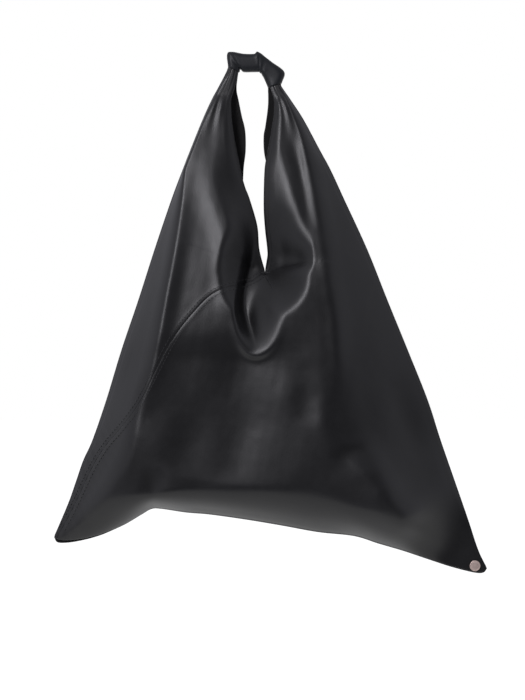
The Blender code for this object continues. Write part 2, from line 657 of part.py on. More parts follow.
def ear_end(name, foot, inside, material, group):
    """The gathered end of an ear: a pleated foot at the hinge, then a run inside the sleeve"""
    inset = SLEEVE_LEATHER + GAP
    half = SLEEVE_DEPTH / 2 - inset
    foot_half = min(NECK_RADIUS, half)
    rings = [section(*foot[0], foot_half, PLEAT_SHARE)]
    rings += [section(outer, inner, foot_half, PLEAT_SHARE) for outer, inner in foot[1:]]
    rings += [section(outer, inner, half) for outer, inner in inside]
    vertices = [point for ring in rings for point in ring]
    faces = skin_between(rings, 0)
    faces.append(tuple(reversed(range(SECTION_STEPS))))
    last = (len(rings) - 1) * SECTION_STEPS
    faces.append(tuple(range(last, last + SECTION_STEPS)))
    return add_mesh(name, vertices, faces, material, group)


def halfway(first, second):
    return tuple((np.array(a) + np.array(b)) / 2 for a, b in zip(first, second))


def make_ear_ends(material, group):
    """Both gathered ends, which meet in the middle of the sleeve"""
    ends = sleeve_ends(SLEEVE_LEATHER + GAP)
    height = -HANDLE_FOOT
    top = ends[2][0][1]
    base = ends[2][1][1]
    left_foot = (
        (across_at(LEFT_EDGE, height), height),
        (across_at(FRONT_LEFT_MOUTH, height), height),
    )
    left_meeting = ((-GAP / 2, top), (-GAP / 2, base))
    left_inside = [ends[0], ends[1], ends[2], left_meeting]
    ear_end("left_ear_end", [left_foot, halfway(left_foot, ends[0])], left_inside, material, group)
    mouth_side = ends[-1][1][0] + GAP
    right_foot = (
        (across_at(RIGHT_EDGE, height), height),
        (max(across_at(FRONT_RIGHT_MOUTH, height), mouth_side), height),
    )
    right_meeting = ((GAP / 2, top), (GAP / 2, base))
    right_inside = [ends[-1], ends[-2], ends[-3], ends[-4], ends[3], right_meeting]
    ear_end("right_ear_end", [right_foot], right_inside, material, group)


def make_panels(leather, back_leather, thread, group):
    """Front and back, each a main panel and an ear panel that meet at a slanting seam"""
    left_edge = outer_side(below(LEFT_EDGE, NECK_TOP))
    right_edge = outer_side(below(RIGHT_EDGE, NECK_TOP))
    front_left = inner_side(below(FRONT_LEFT_MOUTH, NECK_TOP), eased_off(FRONT_SEAM, -1))
    front_right = inner_side(below(FRONT_RIGHT_MOUTH, NECK_TOP), eased_off(FRONT_SEAM, 1))
    back_left = inner_side(below(BACK_LEFT_MOUTH, NECK_TOP), eased_off(BACK_SEAM, -1))
    back_right = inner_side(below(BACK_RIGHT_MOUTH, NECK_TOP), eased_off(BACK_SEAM, 1))

    front_ear = panel_grid(left_edge, front_left, EAR_COLUMNS, False)
    front_main = panel_grid(front_right, right_edge, MAIN_COLUMNS, True)
    back_main = panel_grid(left_edge, back_left, MAIN_COLUMNS, True)
    back_ear = panel_grid(back_right, right_edge, EAR_COLUMNS, False)

    sheet("front_ear_panel", front_ear, front_depth, FRONT, leather, group)
    sheet("front_main_panel", front_main, front_depth, FRONT, leather, group)
    sheet("back_main_panel", back_main, back_depth, BACK, back_leather, group)
    sheet("back_ear_panel", back_ear, back_depth, BACK, back_leather, group)

    front_pair = [bpy.data.objects["front_ear_panel"], bpy.data.objects["front_main_panel"]]
    back_pair = [bpy.data.objects["back_ear_panel"], bpy.data.objects["back_main_panel"]]
    for name, grid, column, depth_of, panels, face in (
        ("front_seam_thread_upper", front_ear, -2, front_depth, front_pair, FRONT),
        ("front_seam_thread_lower", front_main, 1, front_depth, front_pair, FRONT),
        ("back_seam_thread_lower", back_main, -2, back_depth, back_pair, BACK),
        ("back_seam_thread_upper", back_ear, 1, back_depth, back_pair, BACK),
    ):
        seam_thread(name, grid, column, depth_of, panels, face, thread, group)


def add_solid(thing, name, material, group):
    """Name a new primitive, apply its scale and move it to the bag's collection"""
    bpy.ops.object.transform_apply(location=False, rotation=False, scale=True)
    thing.name = name
    thing.data.name = name
    thing.data.materials.append(material)
    for holder in list(thing.users_collection):
        holder.objects.unlink(thing)
    group.objects.link(thing)
    return thing


def round_edges(thing, width):
    bevel = thing.modifiers.new("Rounded edges", "BEVEL")
    bevel.width = width
    bevel.segments = 2
    bevel.limit_method = "ANGLE"
    thing.data.shade_smooth()
    thing.data.set_sharp_from_angle(angle=math.radians(35))


def stand_off(panels, places, face):
    """How far the outermost of two panels' skins stands off the middle plane, under some places"""
    reached = [0.0]
    for panel in panels:
        skin = skin_tree(panel)
        for x, z in places:
            hit = skin.ray_cast(Vector((x, face * BAG_WIDTH, z)), Vector((0.0, -face, 0.0)))[0]
            if hit is not None:
                reached.append(face * hit.y)
    return max(reached)


def make_tack(name, side, face, material, group):
    """A short bar of stitches over the foot of the mouth, seated on the two panels it joins"""
    x = MOUTH_FOOT_SHARES[0] * BAG_WIDTH
    z = -MOUTH_FOOT_SHARES[1] * BAG_DROP - TACK_HEIGHT
    spread = np.linspace(-0.5, 0.5, SECTION_STEPS)
    places = [(x + over * TACK_LENGTH, z + up * TACK_HEIGHT) for over in spread for up in spread]
    panels = [bpy.data.objects[side + "_ear_panel"], bpy.data.objects[side + "_main_panel"]]
    skin = stand_off(panels, places, face)
    bpy.ops.mesh.primitive_cube_add(size=1.0, location=(x, face * (skin + GAP + TACK_THICKNESS / 2), z))
    tack = bpy.context.object
    tack.scale = (TACK_LENGTH, TACK_THICKNESS, TACK_HEIGHT)
    add_solid(tack, name, material, group)
    round_edges(tack, TACK_THICKNESS / 4)


def disc(name, radius, start, end, material, group):
    """A round piece of the rivet that runs between two places along Y"""
    x = RIVET_SHARES[0] * BAG_WIDTH
    z = -RIVET_SHARES[1] * BAG_DROP
    bpy.ops.mesh.primitive_cylinder_add(
        vertices=RIVET_STEPS,
        radius=radius,
        depth=abs(end - start),
        location=(x, (start + end) / 2, z),
        rotation=(math.pi / 2, 0.0, 0.0),
    )
    return add_solid(bpy.context.object, name, material, group)


def make_rivet(metal, group, cutters):
    """Cap in front, base behind and the stem that joins them through both layers"""
    skin = GAP / 2 + LEATHER
    seat = skin + GAP
    cap = disc("rivet_cap", RIVET_RADIUS, -seat, -seat - RIVET_CAP_THICKNESS, metal, group)
    round_edges(cap, RIVET_EDGE_ROUND)
    base = disc("rivet_base", RIVET_BASE_RADIUS, seat, seat + RIVET_BASE_THICKNESS, metal, group)
    round_edges(base, RIVET_EDGE_ROUND)
    disc("rivet_stem", RIVET_STEM_RADIUS, GAP - seat, seat - GAP, metal, group)
    through = seat + CUT_OVERRUN
    hole = disc("rivet_hole", RIVET_STEM_RADIUS + GAP, -through, through, metal, cutters)
    hole.hide_render = True
    hole.display_type = "WIRE"
    for name in ("front_main_panel", "back_main_panel"):
        cut = bpy.data.objects[name].modifiers.new("Rivet hole", "BOOLEAN")
        cut.operation = "DIFFERENCE"
        cut.object = hole


def main():
    clear_scene()
    group = new_collection("triangle_bag")
    cutters = new_collection("cutters")
    leather = principled("black_leather", (0.030, 0.030, 0.034), 0.38)
    back_leather = principled("black_leather_behind", (0.028, 0.028, 0.032), 0.42)
    sleeve_leather = principled("black_sleeve_leather", (0.034, 0.036, 0.040), 0.45)
    gathered = principled("gathered_leather", (0.026, 0.026, 0.030), 0.45)
    thread = principled("black_thread", (0.020, 0.020, 0.022), 0.70)
    metal = principled("rose_metal", (0.62, 0.50, 0.47), 0.28, 1.0)
    make_sleeve(sleeve_leather, group)
    make_sleeve_thread(thread, group)
    make_ear_ends(gathered, group)
    make_panels(leather, back_leather, thread, group)
    make_tack("front_bar_tack", "front", FRONT, thread, group)
    make_tack("back_bar_tack", "back", BACK, thread, group)
    make_rivet(metal, group, cutters)


main()
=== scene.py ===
"""The looks of a soft black leather triangle bag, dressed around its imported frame.

Metres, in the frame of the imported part: +Z is up, the front faces -Y and the origin is the hang point.
Outlines are tables of shares: how far across, of BAG_WIDTH, and how far down, of BAG_DROP.
Folds are tables of pixels, as (right, down) in the photograph's 525 x 700 frame.
"""
import math

import bmesh
import bpy
import numpy as np
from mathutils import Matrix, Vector
from mathutils.bvhtree import BVHTree


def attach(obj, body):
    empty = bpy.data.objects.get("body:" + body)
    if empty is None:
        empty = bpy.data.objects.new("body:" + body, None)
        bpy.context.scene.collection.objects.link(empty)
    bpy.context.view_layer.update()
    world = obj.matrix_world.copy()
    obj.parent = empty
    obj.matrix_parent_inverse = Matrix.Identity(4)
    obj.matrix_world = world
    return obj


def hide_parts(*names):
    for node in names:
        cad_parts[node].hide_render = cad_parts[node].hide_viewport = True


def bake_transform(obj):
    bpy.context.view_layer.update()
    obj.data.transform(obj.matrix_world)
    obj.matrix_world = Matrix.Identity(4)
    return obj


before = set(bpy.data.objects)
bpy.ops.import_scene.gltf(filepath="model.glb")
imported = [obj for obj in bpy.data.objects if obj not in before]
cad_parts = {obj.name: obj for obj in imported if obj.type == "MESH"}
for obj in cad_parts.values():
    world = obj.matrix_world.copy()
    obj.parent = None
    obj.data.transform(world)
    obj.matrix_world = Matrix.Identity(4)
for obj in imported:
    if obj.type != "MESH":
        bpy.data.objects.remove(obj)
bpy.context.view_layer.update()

# How the photograph maps to the bag's middle plane
PIXEL = 0.0012
HANG_PIXELS = (249.0, 72.0)
PHOTO_PIXELS = (525, 700)
CAMERA_DISTANCE = 2.6
SENSOR_HEIGHT = 36.0

# The bag's own sizes
BAG_WIDTH = 0.520
BAG_DROP = 0.600
LEATHER = 0.0018
GAP = 0.0003
TINY = GAP**2
FRONT_SWELL = 0.054
BACK_SWELL = 0.048
HINGE_DROP = 0.0281
SLEEVE_WIDTH = 0.0216
SLEEVE_DEPTH = 0.0168
SLEEVE_LEATHER = 0.0016

# How the plain form turns from its middle to its sides, its underside and its tips
FACET_BLEND = 0.012
UNDER_BLEND_SHARE = 2.5
CROWN_SHARE = 0.04
SIDE_POWER = 0.92
UNDERSIDE_POWER = 0.80
FACET_RUN_ON = 3.0
TIP_REACH = 0.170
TIP_POWER = 0.8
EDGE_REACH = 0.002
FLOOR_BLEND = 0.005
RIVET_FLAT = 0.026
RIVET_BLEND = 0.110

# The necks, where the ears are gathered, and the pleats that fan out from them (left and right ear)
NECK_HALF = 0.0064
NECK_RADIUS = 0.008
NECK_FLARE = 0.42
NECK_BLEND = 0.002
PLEAT_HEIGHT = 0.0011
PLEAT_DROP = 0.115
PLEAT_FADE_POWER = 2.2
PLEAT_COUNTS = (3.0, 3.4)
PLEAT_SHIFT = 0.9
PLEAT_SPREAD_POWER = 0.85

# How a fold falls off beside its line, fades at its ends and fades where the form is thin
FOLD_SHARPNESS = 1.3
FOLD_END_SHARE = 0.25
FOLD_THIN_SHARE = 0.4
# Random unevenness: height, shortest wave and longest wave
UNEVENNESS = [(0.0003, 0.050, 0.120), (0.00003, 0.012, 0.030)]

# The seam's join, the padding under its stitches, and the puckers beside it
SEAM_GAP = 0.00008
SEAM_DIP = 0.0002
SEAM_DIP_REACH = 0.0010
SEAM_PAD = 0.0001
SEAM_PAD_REACH = 0.0034
SEAM_PAD_WIDTH = 0.0026
SEAM_FADE_HEIGHT = 0.004
PUCKER_HEIGHT = 0.0005
PUCKER_SLANT = (0.90, 0.44)
PUCKER_LENGTH = 0.0105
PUCKER_REACH = 0.017
PUCKER_START_SHARE = 0.55
PUCKER_FADE_SHARE = 0.20
PUCKER_DRIFT = 9.0

# Stitches and the bar tacks
THREAD_RADIUS = 0.00040
STITCH_LENGTH = 0.0034
STITCH_PITCH = 0.0044
STITCH_INSET = 0.0040
STITCH_ARCH = 1.1 * THREAD_RADIUS
STITCH_SINK = 0.35 * THREAD_RADIUS
LONGEST_STITCH_SHARE = 2.5
TACK_LENGTH = 0.009
TACK_HEIGHT = 0.0022
TACK_STITCHES = 15
TACK_SLANT_SHARE = 0.36

# Where the ears' skins end inside the sleeve
LEFT_TOP = 0.006
RIGHT_TOP = -0.010

# The ears' gathered ends inside the sleeve: name, then each section's place on the sleeve and how far it
# is drawn in
GATHER_FOOT = 0.0196
GATHER_FOOT_HALF = NECK_RADIUS - 0.0012
GATHER_STEPS = 96
GATHER_PLEATS = 9
GATHER_PLEAT_SHARE = 0.16
GATHER_POWER = 0.75
LEFT_GATHER = ("left_ear_gather", [(1, 0.0006), (6, 0.0), (12, 0.0), (20, 0.0)])
RIGHT_GATHER = ("right_ear_gather", [(54, 0.0008), (48, 0.0), (40, 0.0), (32, 0.0)])

# The rivet in the lower right tip
RIVET_RADIUS = 0.0064
RIVET_THICKNESS = 0.0016
RIVET_BASE_RADIUS = 0.0050
RIVET_BASE_THICKNESS = 0.0012

# Leathers: dark tone, light tone, roughness, grain, creases and shine
LEATHERS = {
    "black_leather": ((0.003, 0.003, 0.0035), (0.006, 0.006, 0.007), 0.36, 0.20, 0.05, 0.50),
    "black_sleeve_leather": ((0.006, 0.007, 0.009), (0.012, 0.014, 0.017), 0.42, 0.20, 0.12, 0.32),
    "gathered_leather": ((0.004, 0.004, 0.005), (0.009, 0.009, 0.010), 0.45, 0.20, 0.20, 0.32),
}
# How far a spot must stand out to look fully rubbed, and sink to take the full painted crease shade, and how
# rubbed the cut edges are
RUB_AND_SHADE_HEIGHT = 0.0002
EDGE_WEAR = 0.6

# The floor and the room: how bright each is in front of the bag, beside, left of and behind it, and the lamp
FLOOR_SIZE = 14.0
FLOOR_DROP = 0.86
FLOOR_FRONT = 0.45
FLOOR_GLOW = 1.2
FLOOR_MIRRORED = 0.9
FLOOR_GLOW_SHARE = 0.85
ROOM_FRONT = 0.04
ROOM_BESIDE = 0.60
ROOM_LEFT = 0.15
ROOM_BEHIND = 0.30
AIM = (0.0, 0.0, -0.28)
KEY_PLACE = (-0.90, -2.35, 0.80)
KEY_SIZE = (0.6, 1.5)
KEY_POWER = 32.0

FRONT = -1
BACK = 1

# How finely the skins are divided, and how their rows and columns are shared out
MOUTH_ROWS = 90
SEAM_ROWS = 170
MAIN_COLUMNS = 200
EAR_COLUMNS = 76
EDGE_STEPS = [0.0, 0.0005, 0.0011, 0.0019, 0.0030, 0.0044]
EDGE_STEPS_SHARE = 0.30
EAR_LENGTH_SHARE = 0.36
ROW_SHARE_POWER = 1.25
SEAM_SHARE_POWER = 1.1
BOTTOM_PULL_SHARE = 4.0
SIDE_HOLD_SHARE = 10.0
SMOOTHING_ROUNDS = 3
# How broadly the skin is smoothed to find what stands out as rubbed and what sinks into painted crease shade
RUB_AND_SHADE_ROUNDS = 14
# The most that the leather's thickness across the middle plane may grow where a skin is steep
STEEP_SHARE = 2.2

# A cut edge is rounded: how far through the leather each step lies, and how far it stands out
RIM_BULGE = 0.0007
RIM_STEPS = [(0.18, 0.0004), (0.50, RIM_BULGE), (0.82, 0.0004)]

# How finely the sleeve is divided, and how square its section is (1 is round)
SLEEVE_RINGS = 72
SLEEVE_STEPS = 56
SQUARENESS_SHARE = 0.62
# The sleeve's fine ripple, and the place among its sections where it is flat
SLEEVE_RIPPLE = 0.0004
SLEEVE_MIDDLE = 2.5

# Outlines, mouths and seams in shares
LEFT_EDGE_SHARES = [
    (-0.046, -0.014), (-0.051, 0.000), (-0.070, 0.032), (-0.085, 0.056), (-0.106, 0.096), (-0.134, 0.156),
    (-0.152, 0.196), (-0.178, 0.256), (-0.217, 0.356), (-0.254, 0.456), (-0.293, 0.556),
    (-0.328, 0.656), (-0.360, 0.736), (-0.381, 0.776), (-0.397, 0.816), (-0.413, 0.856),
    (-0.434, 0.900), (-0.449, 0.930),
]
RIGHT_EDGE_SHARES = [
    (0.052, 0.000), (0.076, 0.032), (0.095, 0.056), (0.125, 0.096), (0.162, 0.156),
    (0.187, 0.196), (0.219, 0.256), (0.272, 0.356), (0.318, 0.456), (0.365, 0.556),
    (0.411, 0.656), (0.441, 0.736), (0.473, 0.816), (0.505, 0.896), (0.528, 0.956),
    (0.548, 0.992),
]
BOTTOM_SHARES = [
    (-0.449, 0.930), (-0.441, 0.940), (-0.413, 0.940), (-0.376, 0.934), (-0.344, 0.926),
    (-0.321, 0.918), (-0.284, 0.903), (-0.247, 0.884), (-0.224, 0.873), (-0.201, 0.873),
    (-0.145, 0.880), (-0.090, 0.884), (-0.007, 0.894), (0.076, 0.906), (0.159, 0.919),
    (0.242, 0.927), (0.298, 0.942), (0.353, 0.956), (0.408, 0.972), (0.464, 0.988),
    (0.519, 1.000), (0.540, 1.000), (0.548, 0.992),
]
FRONT_LEFT_MOUTH_SHARES = [
    (-0.024, -0.014), (-0.026, 0.000), (-0.034, 0.032), (-0.042, 0.056), (-0.041, 0.092), (-0.036, 0.126),
    (-0.030, 0.156), (-0.018, 0.206), (-0.009, 0.234), (0.000, 0.254), (0.018, 0.308),
    (0.023, 0.356), (0.036, 0.398),
]
FRONT_RIGHT_MOUTH_SHARES = [
    (0.043, 0.000), (0.050, 0.032), (0.059, 0.056), (0.059, 0.084), (0.055, 0.108),
    (0.049, 0.138), (0.043, 0.166), (0.037, 0.198), (0.035, 0.268), (0.038, 0.314),
    (0.044, 0.366), (0.038, 0.398),
]
BACK_LEFT_MOUTH_SHARES = [
    (-0.024, -0.014), (-0.026, 0.000), (-0.030, 0.032), (-0.025, 0.056), (-0.018, 0.086), (-0.010, 0.116),
    (-0.009, 0.156), (-0.014, 0.196), (-0.014, 0.256), (0.002, 0.326), (0.036, 0.398),
]
BACK_RIGHT_MOUTH_SHARES = [
    (0.043, 0.000), (0.045, 0.032), (0.045, 0.066), (0.039, 0.106), (0.035, 0.126),
    (0.036, 0.158), (0.044, 0.198), (0.048, 0.268), (0.048, 0.336), (0.038, 0.398),
]
FRONT_SEAM_SHARES = [
    (0.037, 0.400), (0.007, 0.418), (-0.021, 0.426), (-0.051, 0.433), (-0.083, 0.446),
    (-0.113, 0.470), (-0.152, 0.510), (-0.182, 0.550), (-0.212, 0.600), (-0.252, 0.665),
    (-0.292, 0.710), (-0.327, 0.745), (-0.360, 0.790), (-0.402, 0.866), (-0.443, 0.932),
]
BACK_SEAM_SHARES = [
    (0.037, 0.400), (0.067, 0.418), (0.095, 0.426), (0.125, 0.433), (0.157, 0.446),
    (0.187, 0.470), (0.226, 0.510), (0.262, 0.556), (0.300, 0.614), (0.345, 0.690),
    (0.390, 0.750), (0.435, 0.810), (0.490, 0.905), (0.541, 0.992),
]
MOUTH_FOOT_SHARES = (0.037, 0.399)
RIVET_SHARES = (0.521, 0.987)

# The handle sleeve's sections, in shares of SLEEVE_WIDTH: outer end and inner end of each
SLEEVE_SHARES = [
    ((-1.17, 0.28), (-0.53, 0.00)),
    ((-1.17, 1.08), (-0.46, 0.13)),
    ((-0.28, 1.00), (-0.28, 0.00)),
    ((0.28, 1.00), (0.28, 0.00)),
    ((0.53, 1.11), (0.55, -0.02)),
    ((1.25, 0.56), (0.76, -0.23)),
    ((1.96, 0.00), (0.90, -0.51)),
    ((1.83, -0.61), (1.06, -0.89)),
]
# Wrinkles where the sleeve bends: place among its sections, width along them and depth in metres
SLEEVE_WRINKLES = [(0.75, 0.16, 0.0009), (1.25, 0.12, 0.0007), (4.05, 0.14, 0.0008), (4.55, 0.18, 0.0008)]

# How far each height stands off the middle plane, of the full swell, and the mouth's edges in metres
SWELL_DROP_SHARES = [0.00, 0.05, 0.10, 0.20, 0.30, 0.40, 0.55, 0.75, 0.90, 1.00]
SWELL_SHARES = [0.12, 0.16, 0.24, 0.42, 0.62, 0.80, 0.94, 1.00, 0.92, 0.62]
MOUTH_DROP_SHARES = [0.00, 0.05, 0.15, 0.24, 0.31, 0.36, 0.40]
MOUTH_HEIGHTS = [0.0040, 0.0065, 0.0120, 0.0160, 0.0130, 0.0070, 0.0030]
MOUTH_SLOPE_SHARE = 0.85

# Where the front turns from its middle to its sides and to its underside
LEFT_RIDGE_PIXELS = [
    (231, 66), (226, 78), (213, 93), (202, 109), (190, 130), (185, 160), (180, 200), (172, 253), (160, 317),
    (150, 367), (137, 413), (128, 450), (112, 480), (92, 508), (74, 528), (58, 540),
]
RIGHT_RIDGE_PIXELS = [
    (270, 66), (277, 80), (283, 92), (289, 104), (296, 118), (305, 140), (311, 163), (316, 192), (321, 227),
    (327, 273), (333, 323), (337, 373), (338, 405), (346, 432), (364, 456), (382, 480), (402, 505),
    (436, 536), (480, 570),
]
UNDER_PIXELS = [
    (50, 541), (70, 533), (90, 523), (110, 512), (130, 504), (150, 499), (175, 496), (207, 496), (273, 499),
    (317, 504), (345, 512), (373, 522), (410, 537), (457, 559), (486, 572),
]

# The rim of the hollow around the mouth's foot, from the left ear under the foot to the right ear: place in
# pixels, then in metres how far in the skin reaches the floor, the lip's height and the outer trough's depth
FRONT_RIM = [
    (238, 96, 0.010, 0.0, 0.0), (229, 112, 0.018, 0.0, 0.0), (221, 132, 0.030, 0.0, 0.0),
    (213, 160, 0.042, 0.0, 0.0), (213, 184, 0.044, 0.0, 0.0), (221, 208, 0.040, 0.0, 0.0),
    (230, 230, 0.032, 0.0, 0.0), (234, 250, 0.024, 0.0, 0.0), (234, 272, 0.018, 0.0, 0.0),
    (233, 292, 0.014, 0.0, 0.0), (234, 314, 0.014, 0.0005, 0.0), (238, 335, 0.020, 0.001, 0.0005),
    (247, 350, 0.026, 0.0025, 0.0015), (256, 354, 0.030, 0.003, 0.0015), (266, 351, 0.036, 0.002, 0.0010),
    (275, 341, 0.040, 0.001, 0.0), (283, 324, 0.044, 0.0, 0.0), (292, 304, 0.048, 0.0, 0.0),
    (304, 284, 0.052, 0.0, 0.0), (315, 264, 0.056, 0.0, 0.0), (313, 244, 0.052, 0.0, 0.0),
    (304, 222, 0.046, 0.0, 0.0),
    (295, 196, 0.040, 0.0, 0.0), (285, 166, 0.028, 0.0, 0.0), (278, 138, 0.018, 0.0, 0.0),
    (274, 108, 0.010, 0.0, 0.0),
]
LIP_WIDTH = 0.0055
TROUGH_REACH = 0.0075
LIP_SHIFT_SHARE = 0.75
ROLL_CENTRE_PIXELS = (262, 285)
FLOOR_DOWN_PIXELS = [60, 100, 150, 200, 235, 255, 268, 285, 300, 320, 340, 357]
FLOOR_HEIGHTS = [0.006, 0.010, 0.015, 0.018, 0.015, 0.008, 0.004, 0.012, 0.018, 0.026, 0.034, 0.042]

# Folds of the front: line in pixels, then in metres the heights along it and how far it reaches to the left
# and to the right of one who goes down the line
FRONT_FOLDS = [
    ([(263, 272), (259, 295), (256, 320), (257, 345)], [0.001, 0.003, 0.0035, 0.001], 0.016, 0.014),
    ([(274, 264), (286, 263), (300, 262), (312, 262)], [0.0, -0.003, -0.005, -0.001], 0.026, 0.014),
    ([(191, 145), (183, 200), (175, 253), (164, 317), (154, 367), (140, 418)],
     [0.0, 0.001, 0.003, 0.003, 0.003, 0.0], 0.015, 0.012),
    ([(216, 115), (210, 155), (212, 190), (221, 222), (229, 252), (231, 282), (231, 310), (232, 340)],
     [0.0, 0.0005, 0.001, 0.002, 0.003, 0.004, 0.004, 0.0], 0.030, 0.018),
    ([(286, 92), (300, 120), (308, 150), (316, 190), (322, 228), (328, 274), (335, 321), (338, 376),
      (336, 420)],
     [0.001, 0.002, 0.0025, 0.0025, 0.0025, 0.003, 0.003, 0.003, 0.0], 0.016, 0.014),
    ([(287, 124), (299, 167), (307, 210), (315, 250)], [0.0, -0.0015, -0.0015, 0.0], 0.011, 0.011),
    ([(236, 320), (236, 360), (232, 400), (226, 440), (220, 480)],
     [0.0, -0.007, -0.009, -0.009, -0.004], 0.078, 0.110),
    ([(304, 350), (305, 375), (306, 402), (309, 430)], [0.0, -0.0015, -0.0015, 0.0], 0.024, 0.022),
    ([(312, 385), (320, 420), (328, 450), (334, 472)], [0.0, 0.001, 0.001, 0.0], 0.020, 0.016),
    ([(330, 447), (348, 449), (368, 446)], [0.0, -0.0015, 0.0], 0.010, 0.014),
    ([(362, 440), (376, 472), (394, 505), (430, 535)], [0.0, 0.005, 0.005, 0.0], 0.026, 0.046),
    ([(340, 500), (376, 520), (416, 537), (450, 551)], [0.0, -0.002, -0.002, 0.0], 0.014, 0.014),
    ([(151, 505), (153, 488), (157, 462)], [-0.005, -0.003, 0.0], 0.014, 0.014),
    ([(430, 415), (448, 460), (460, 512)], [0.0, 0.003, 0.0], 0.012, 0.022),
    ([(388, 360), (410, 420), (428, 470)], [0.0, -0.003, 0.0], 0.030, 0.026),
]

# Folds of the back, seen in the same frame as if through the front
BACK_LEFT_RIDGE_PIXELS = [
    (231, 66), (224, 86), (209, 120), (196, 160), (188, 210), (180, 265), (171, 320), (163, 375), (148, 430),
    (118, 478), (84, 518), (58, 540),
]
BACK_RIGHT_RIDGE_PIXELS = [
    (270, 66), (279, 88), (292, 118), (307, 160), (321, 210), (334, 270), (346, 335), (358, 400), (384, 460),
    (432, 524), (480, 570),
]
BACK_UNDER_PIXELS = [
    (50, 541), (80, 525), (110, 508), (150, 492), (200, 486), (270, 488), (330, 497), (380, 517), (430, 541),
    (486, 572),
]
BACK_RIM = [
    (236, 118, 0.016, 0.0, 0.0), (222, 150, 0.026, 0.0, 0.0), (216, 190, 0.034, 0.0, 0.0),
    (220, 230, 0.038, 0.0005, 0.0), (226, 270, 0.036, 0.001, 0.001), (230, 305, 0.030, 0.002, 0.002),
    (240, 334, 0.026, 0.003, 0.003), (258, 345, 0.026, 0.003, 0.003), (280, 338, 0.028, 0.002, 0.002),
    (298, 315, 0.030, 0.001, 0.001), (306, 280, 0.034, 0.0, 0.0), (303, 240, 0.032, 0.0, 0.0),
    (294, 205, 0.028, 0.0, 0.0), (284, 170, 0.022, 0.0, 0.0), (272, 130, 0.014, 0.0, 0.0),
]
BACK_FLOOR_HEIGHTS = [0.006, 0.008, 0.010, 0.010, 0.008, 0.006, 0.004, 0.010, 0.017, 0.026, 0.032, 0.036]
BACK_FOLDS = [
    ([(206, 140), (192, 200), (182, 260), (170, 330), (156, 400)],
     [0.0, 0.002, 0.003, 0.003, 0.0], 0.007, 0.009),
    ([(296, 130), (312, 180), (328, 245), (342, 315), (352, 385)],
     [0.0, 0.002, 0.003, 0.003, 0.0], 0.009, 0.007),
    ([(250, 345), (236, 400), (214, 450), (190, 482)], [0.0, -0.005, -0.005, 0.0], 0.016, 0.022),
    ([(285, 335), (305, 390), (335, 440), (372, 480)], [0.0, -0.004, -0.005, 0.0], 0.020, 0.016),
    ([(262, 350), (266, 400), (268, 455)], [0.0, 0.003, 0.0], 0.024, 0.024),
    ([(262, 274), (264, 300), (266, 332)], [0.0, 0.005, 0.001], 0.010, 0.010),
    ([(120, 470), (150, 485), (180, 478)], [0.0, -0.005, 0.0], 0.012, 0.012),
]


def from_shares(shares):
    return np.array(shares, float) * np.array([BAG_WIDTH, -BAG_DROP])


def from_pixels(pixels):
    return (np.array(pixels, float) - np.array(HANG_PIXELS)) * np.array([PIXEL, -PIXEL])


def curve_at(knots, share):
    """A point of the smooth curve between the second and the third of four knots"""
    before, start, end, after = knots
    bend = 2 * before - 5 * start + 4 * end - after
    twist = 3 * (start - end) + after - before
    return 0.5 * (2 * start + (end - before) * share + bend * share**2 + twist * share**3)


def smooth(knots, count=12):
    """A smooth line of short straight steps through its knots"""
    knots = np.vstack([knots[0], knots, knots[-1]])
    steps = np.linspace(0.0, 1.0, count, endpoint=False)[:, None]
    pieces = [curve_at(four, steps) for four in zip(knots, knots[1:], knots[2:], knots[3:])]
    return np.vstack([*pieces, knots[-1][None]])


def below(line, level):
    """The stretch of a falling line that lies under a level"""
    first = np.array([np.interp(-level, -line[:, 1], line[:, 0]), level])
    return np.vstack([first, line[line[:, 1] < level]])


def lengths_along(line):
    return np.concatenate([[0.0], np.cumsum(np.linalg.norm(np.diff(line, axis=0), axis=1))])


def along(line, shares):
    """Points at shares of a line's length"""
    lengths = lengths_along(line)
    places = shares * lengths[-1]
    return np.stack([np.interp(places, lengths, line[:, axis]) for axis in range(line.shape[1])], axis=-1)


def offset_line(line, distance):
    """A line moved sideways"""
    run = np.gradient(line, axis=0)
    normal = np.stack([-run[:, 1], run[:, 0]], axis=-1)
    return line + normal / np.linalg.norm(normal, axis=1)[:, None] * distance


def across_at(line, z):
    return np.interp(-z, -line[:, 1], line[:, 0])


def shares_along(line):
    lengths = lengths_along(line)
    return lengths / lengths[-1]


def nearest(line, x, z):
    """Distance to a line, the side that each point lies on and the share of the line beside it"""
    gap = np.full(np.shape(x), np.inf)
    side = np.zeros(np.shape(x))
    place = np.zeros(np.shape(x))
    reached = 0.0
    for start, end in zip(line, line[1:]):
        run = end - start
        length = max(np.linalg.norm(run), TINY)
        share = np.clip(((x - start[0]) * run[0] + (z - start[1]) * run[1]) / length**2, 0.0, 1.0)
        off_x = x - start[0] - share * run[0]
        off_z = z - start[1] - share * run[1]
        here = np.hypot(off_x, off_z)
        closer = here < gap
        gap = np.where(closer, here, gap)
        side = np.where(closer, run[0] * off_z - run[1] * off_x, side)
        place = np.where(closer, reached + share * length, place)
        reached += length
    return gap, np.sign(side), place / reached


def inside(loop, x, z):
    """Which points lie within a closed loop"""
    within = np.zeros(np.shape(x), bool)
    for start, end in zip(loop, np.roll(loop, -1, axis=0)):
        rise = end[1] - start[1]
        spans = (start[1] > z) != (end[1] > z)
        crossing = start[0] + (z - start[1]) * (end[0] - start[0]) / (rise if abs(rise) > TINY else TINY)
        within ^= spans & (x < crossing)
    return within


def table(spots, heights, places):
    """A smooth curve through a table of heights, read at places"""
    curve = smooth(np.stack([spots, heights], axis=-1).astype(float), 8)
    return np.interp(places, curve[:, 0], curve[:, 1])


def ease(share):
    held = np.clip(share, 0.0, 1.0)
    return held * held * (3.0 - 2.0 * held)


def soft_min(first, second, blend):
    """The lower of two heights, with the corner between them rounded"""
    share = np.clip(0.5 + 0.5 * (second - first) / blend, 0.0, 1.0)
    return second * (1.0 - share) + first * share - blend * share * (1.0 - share)


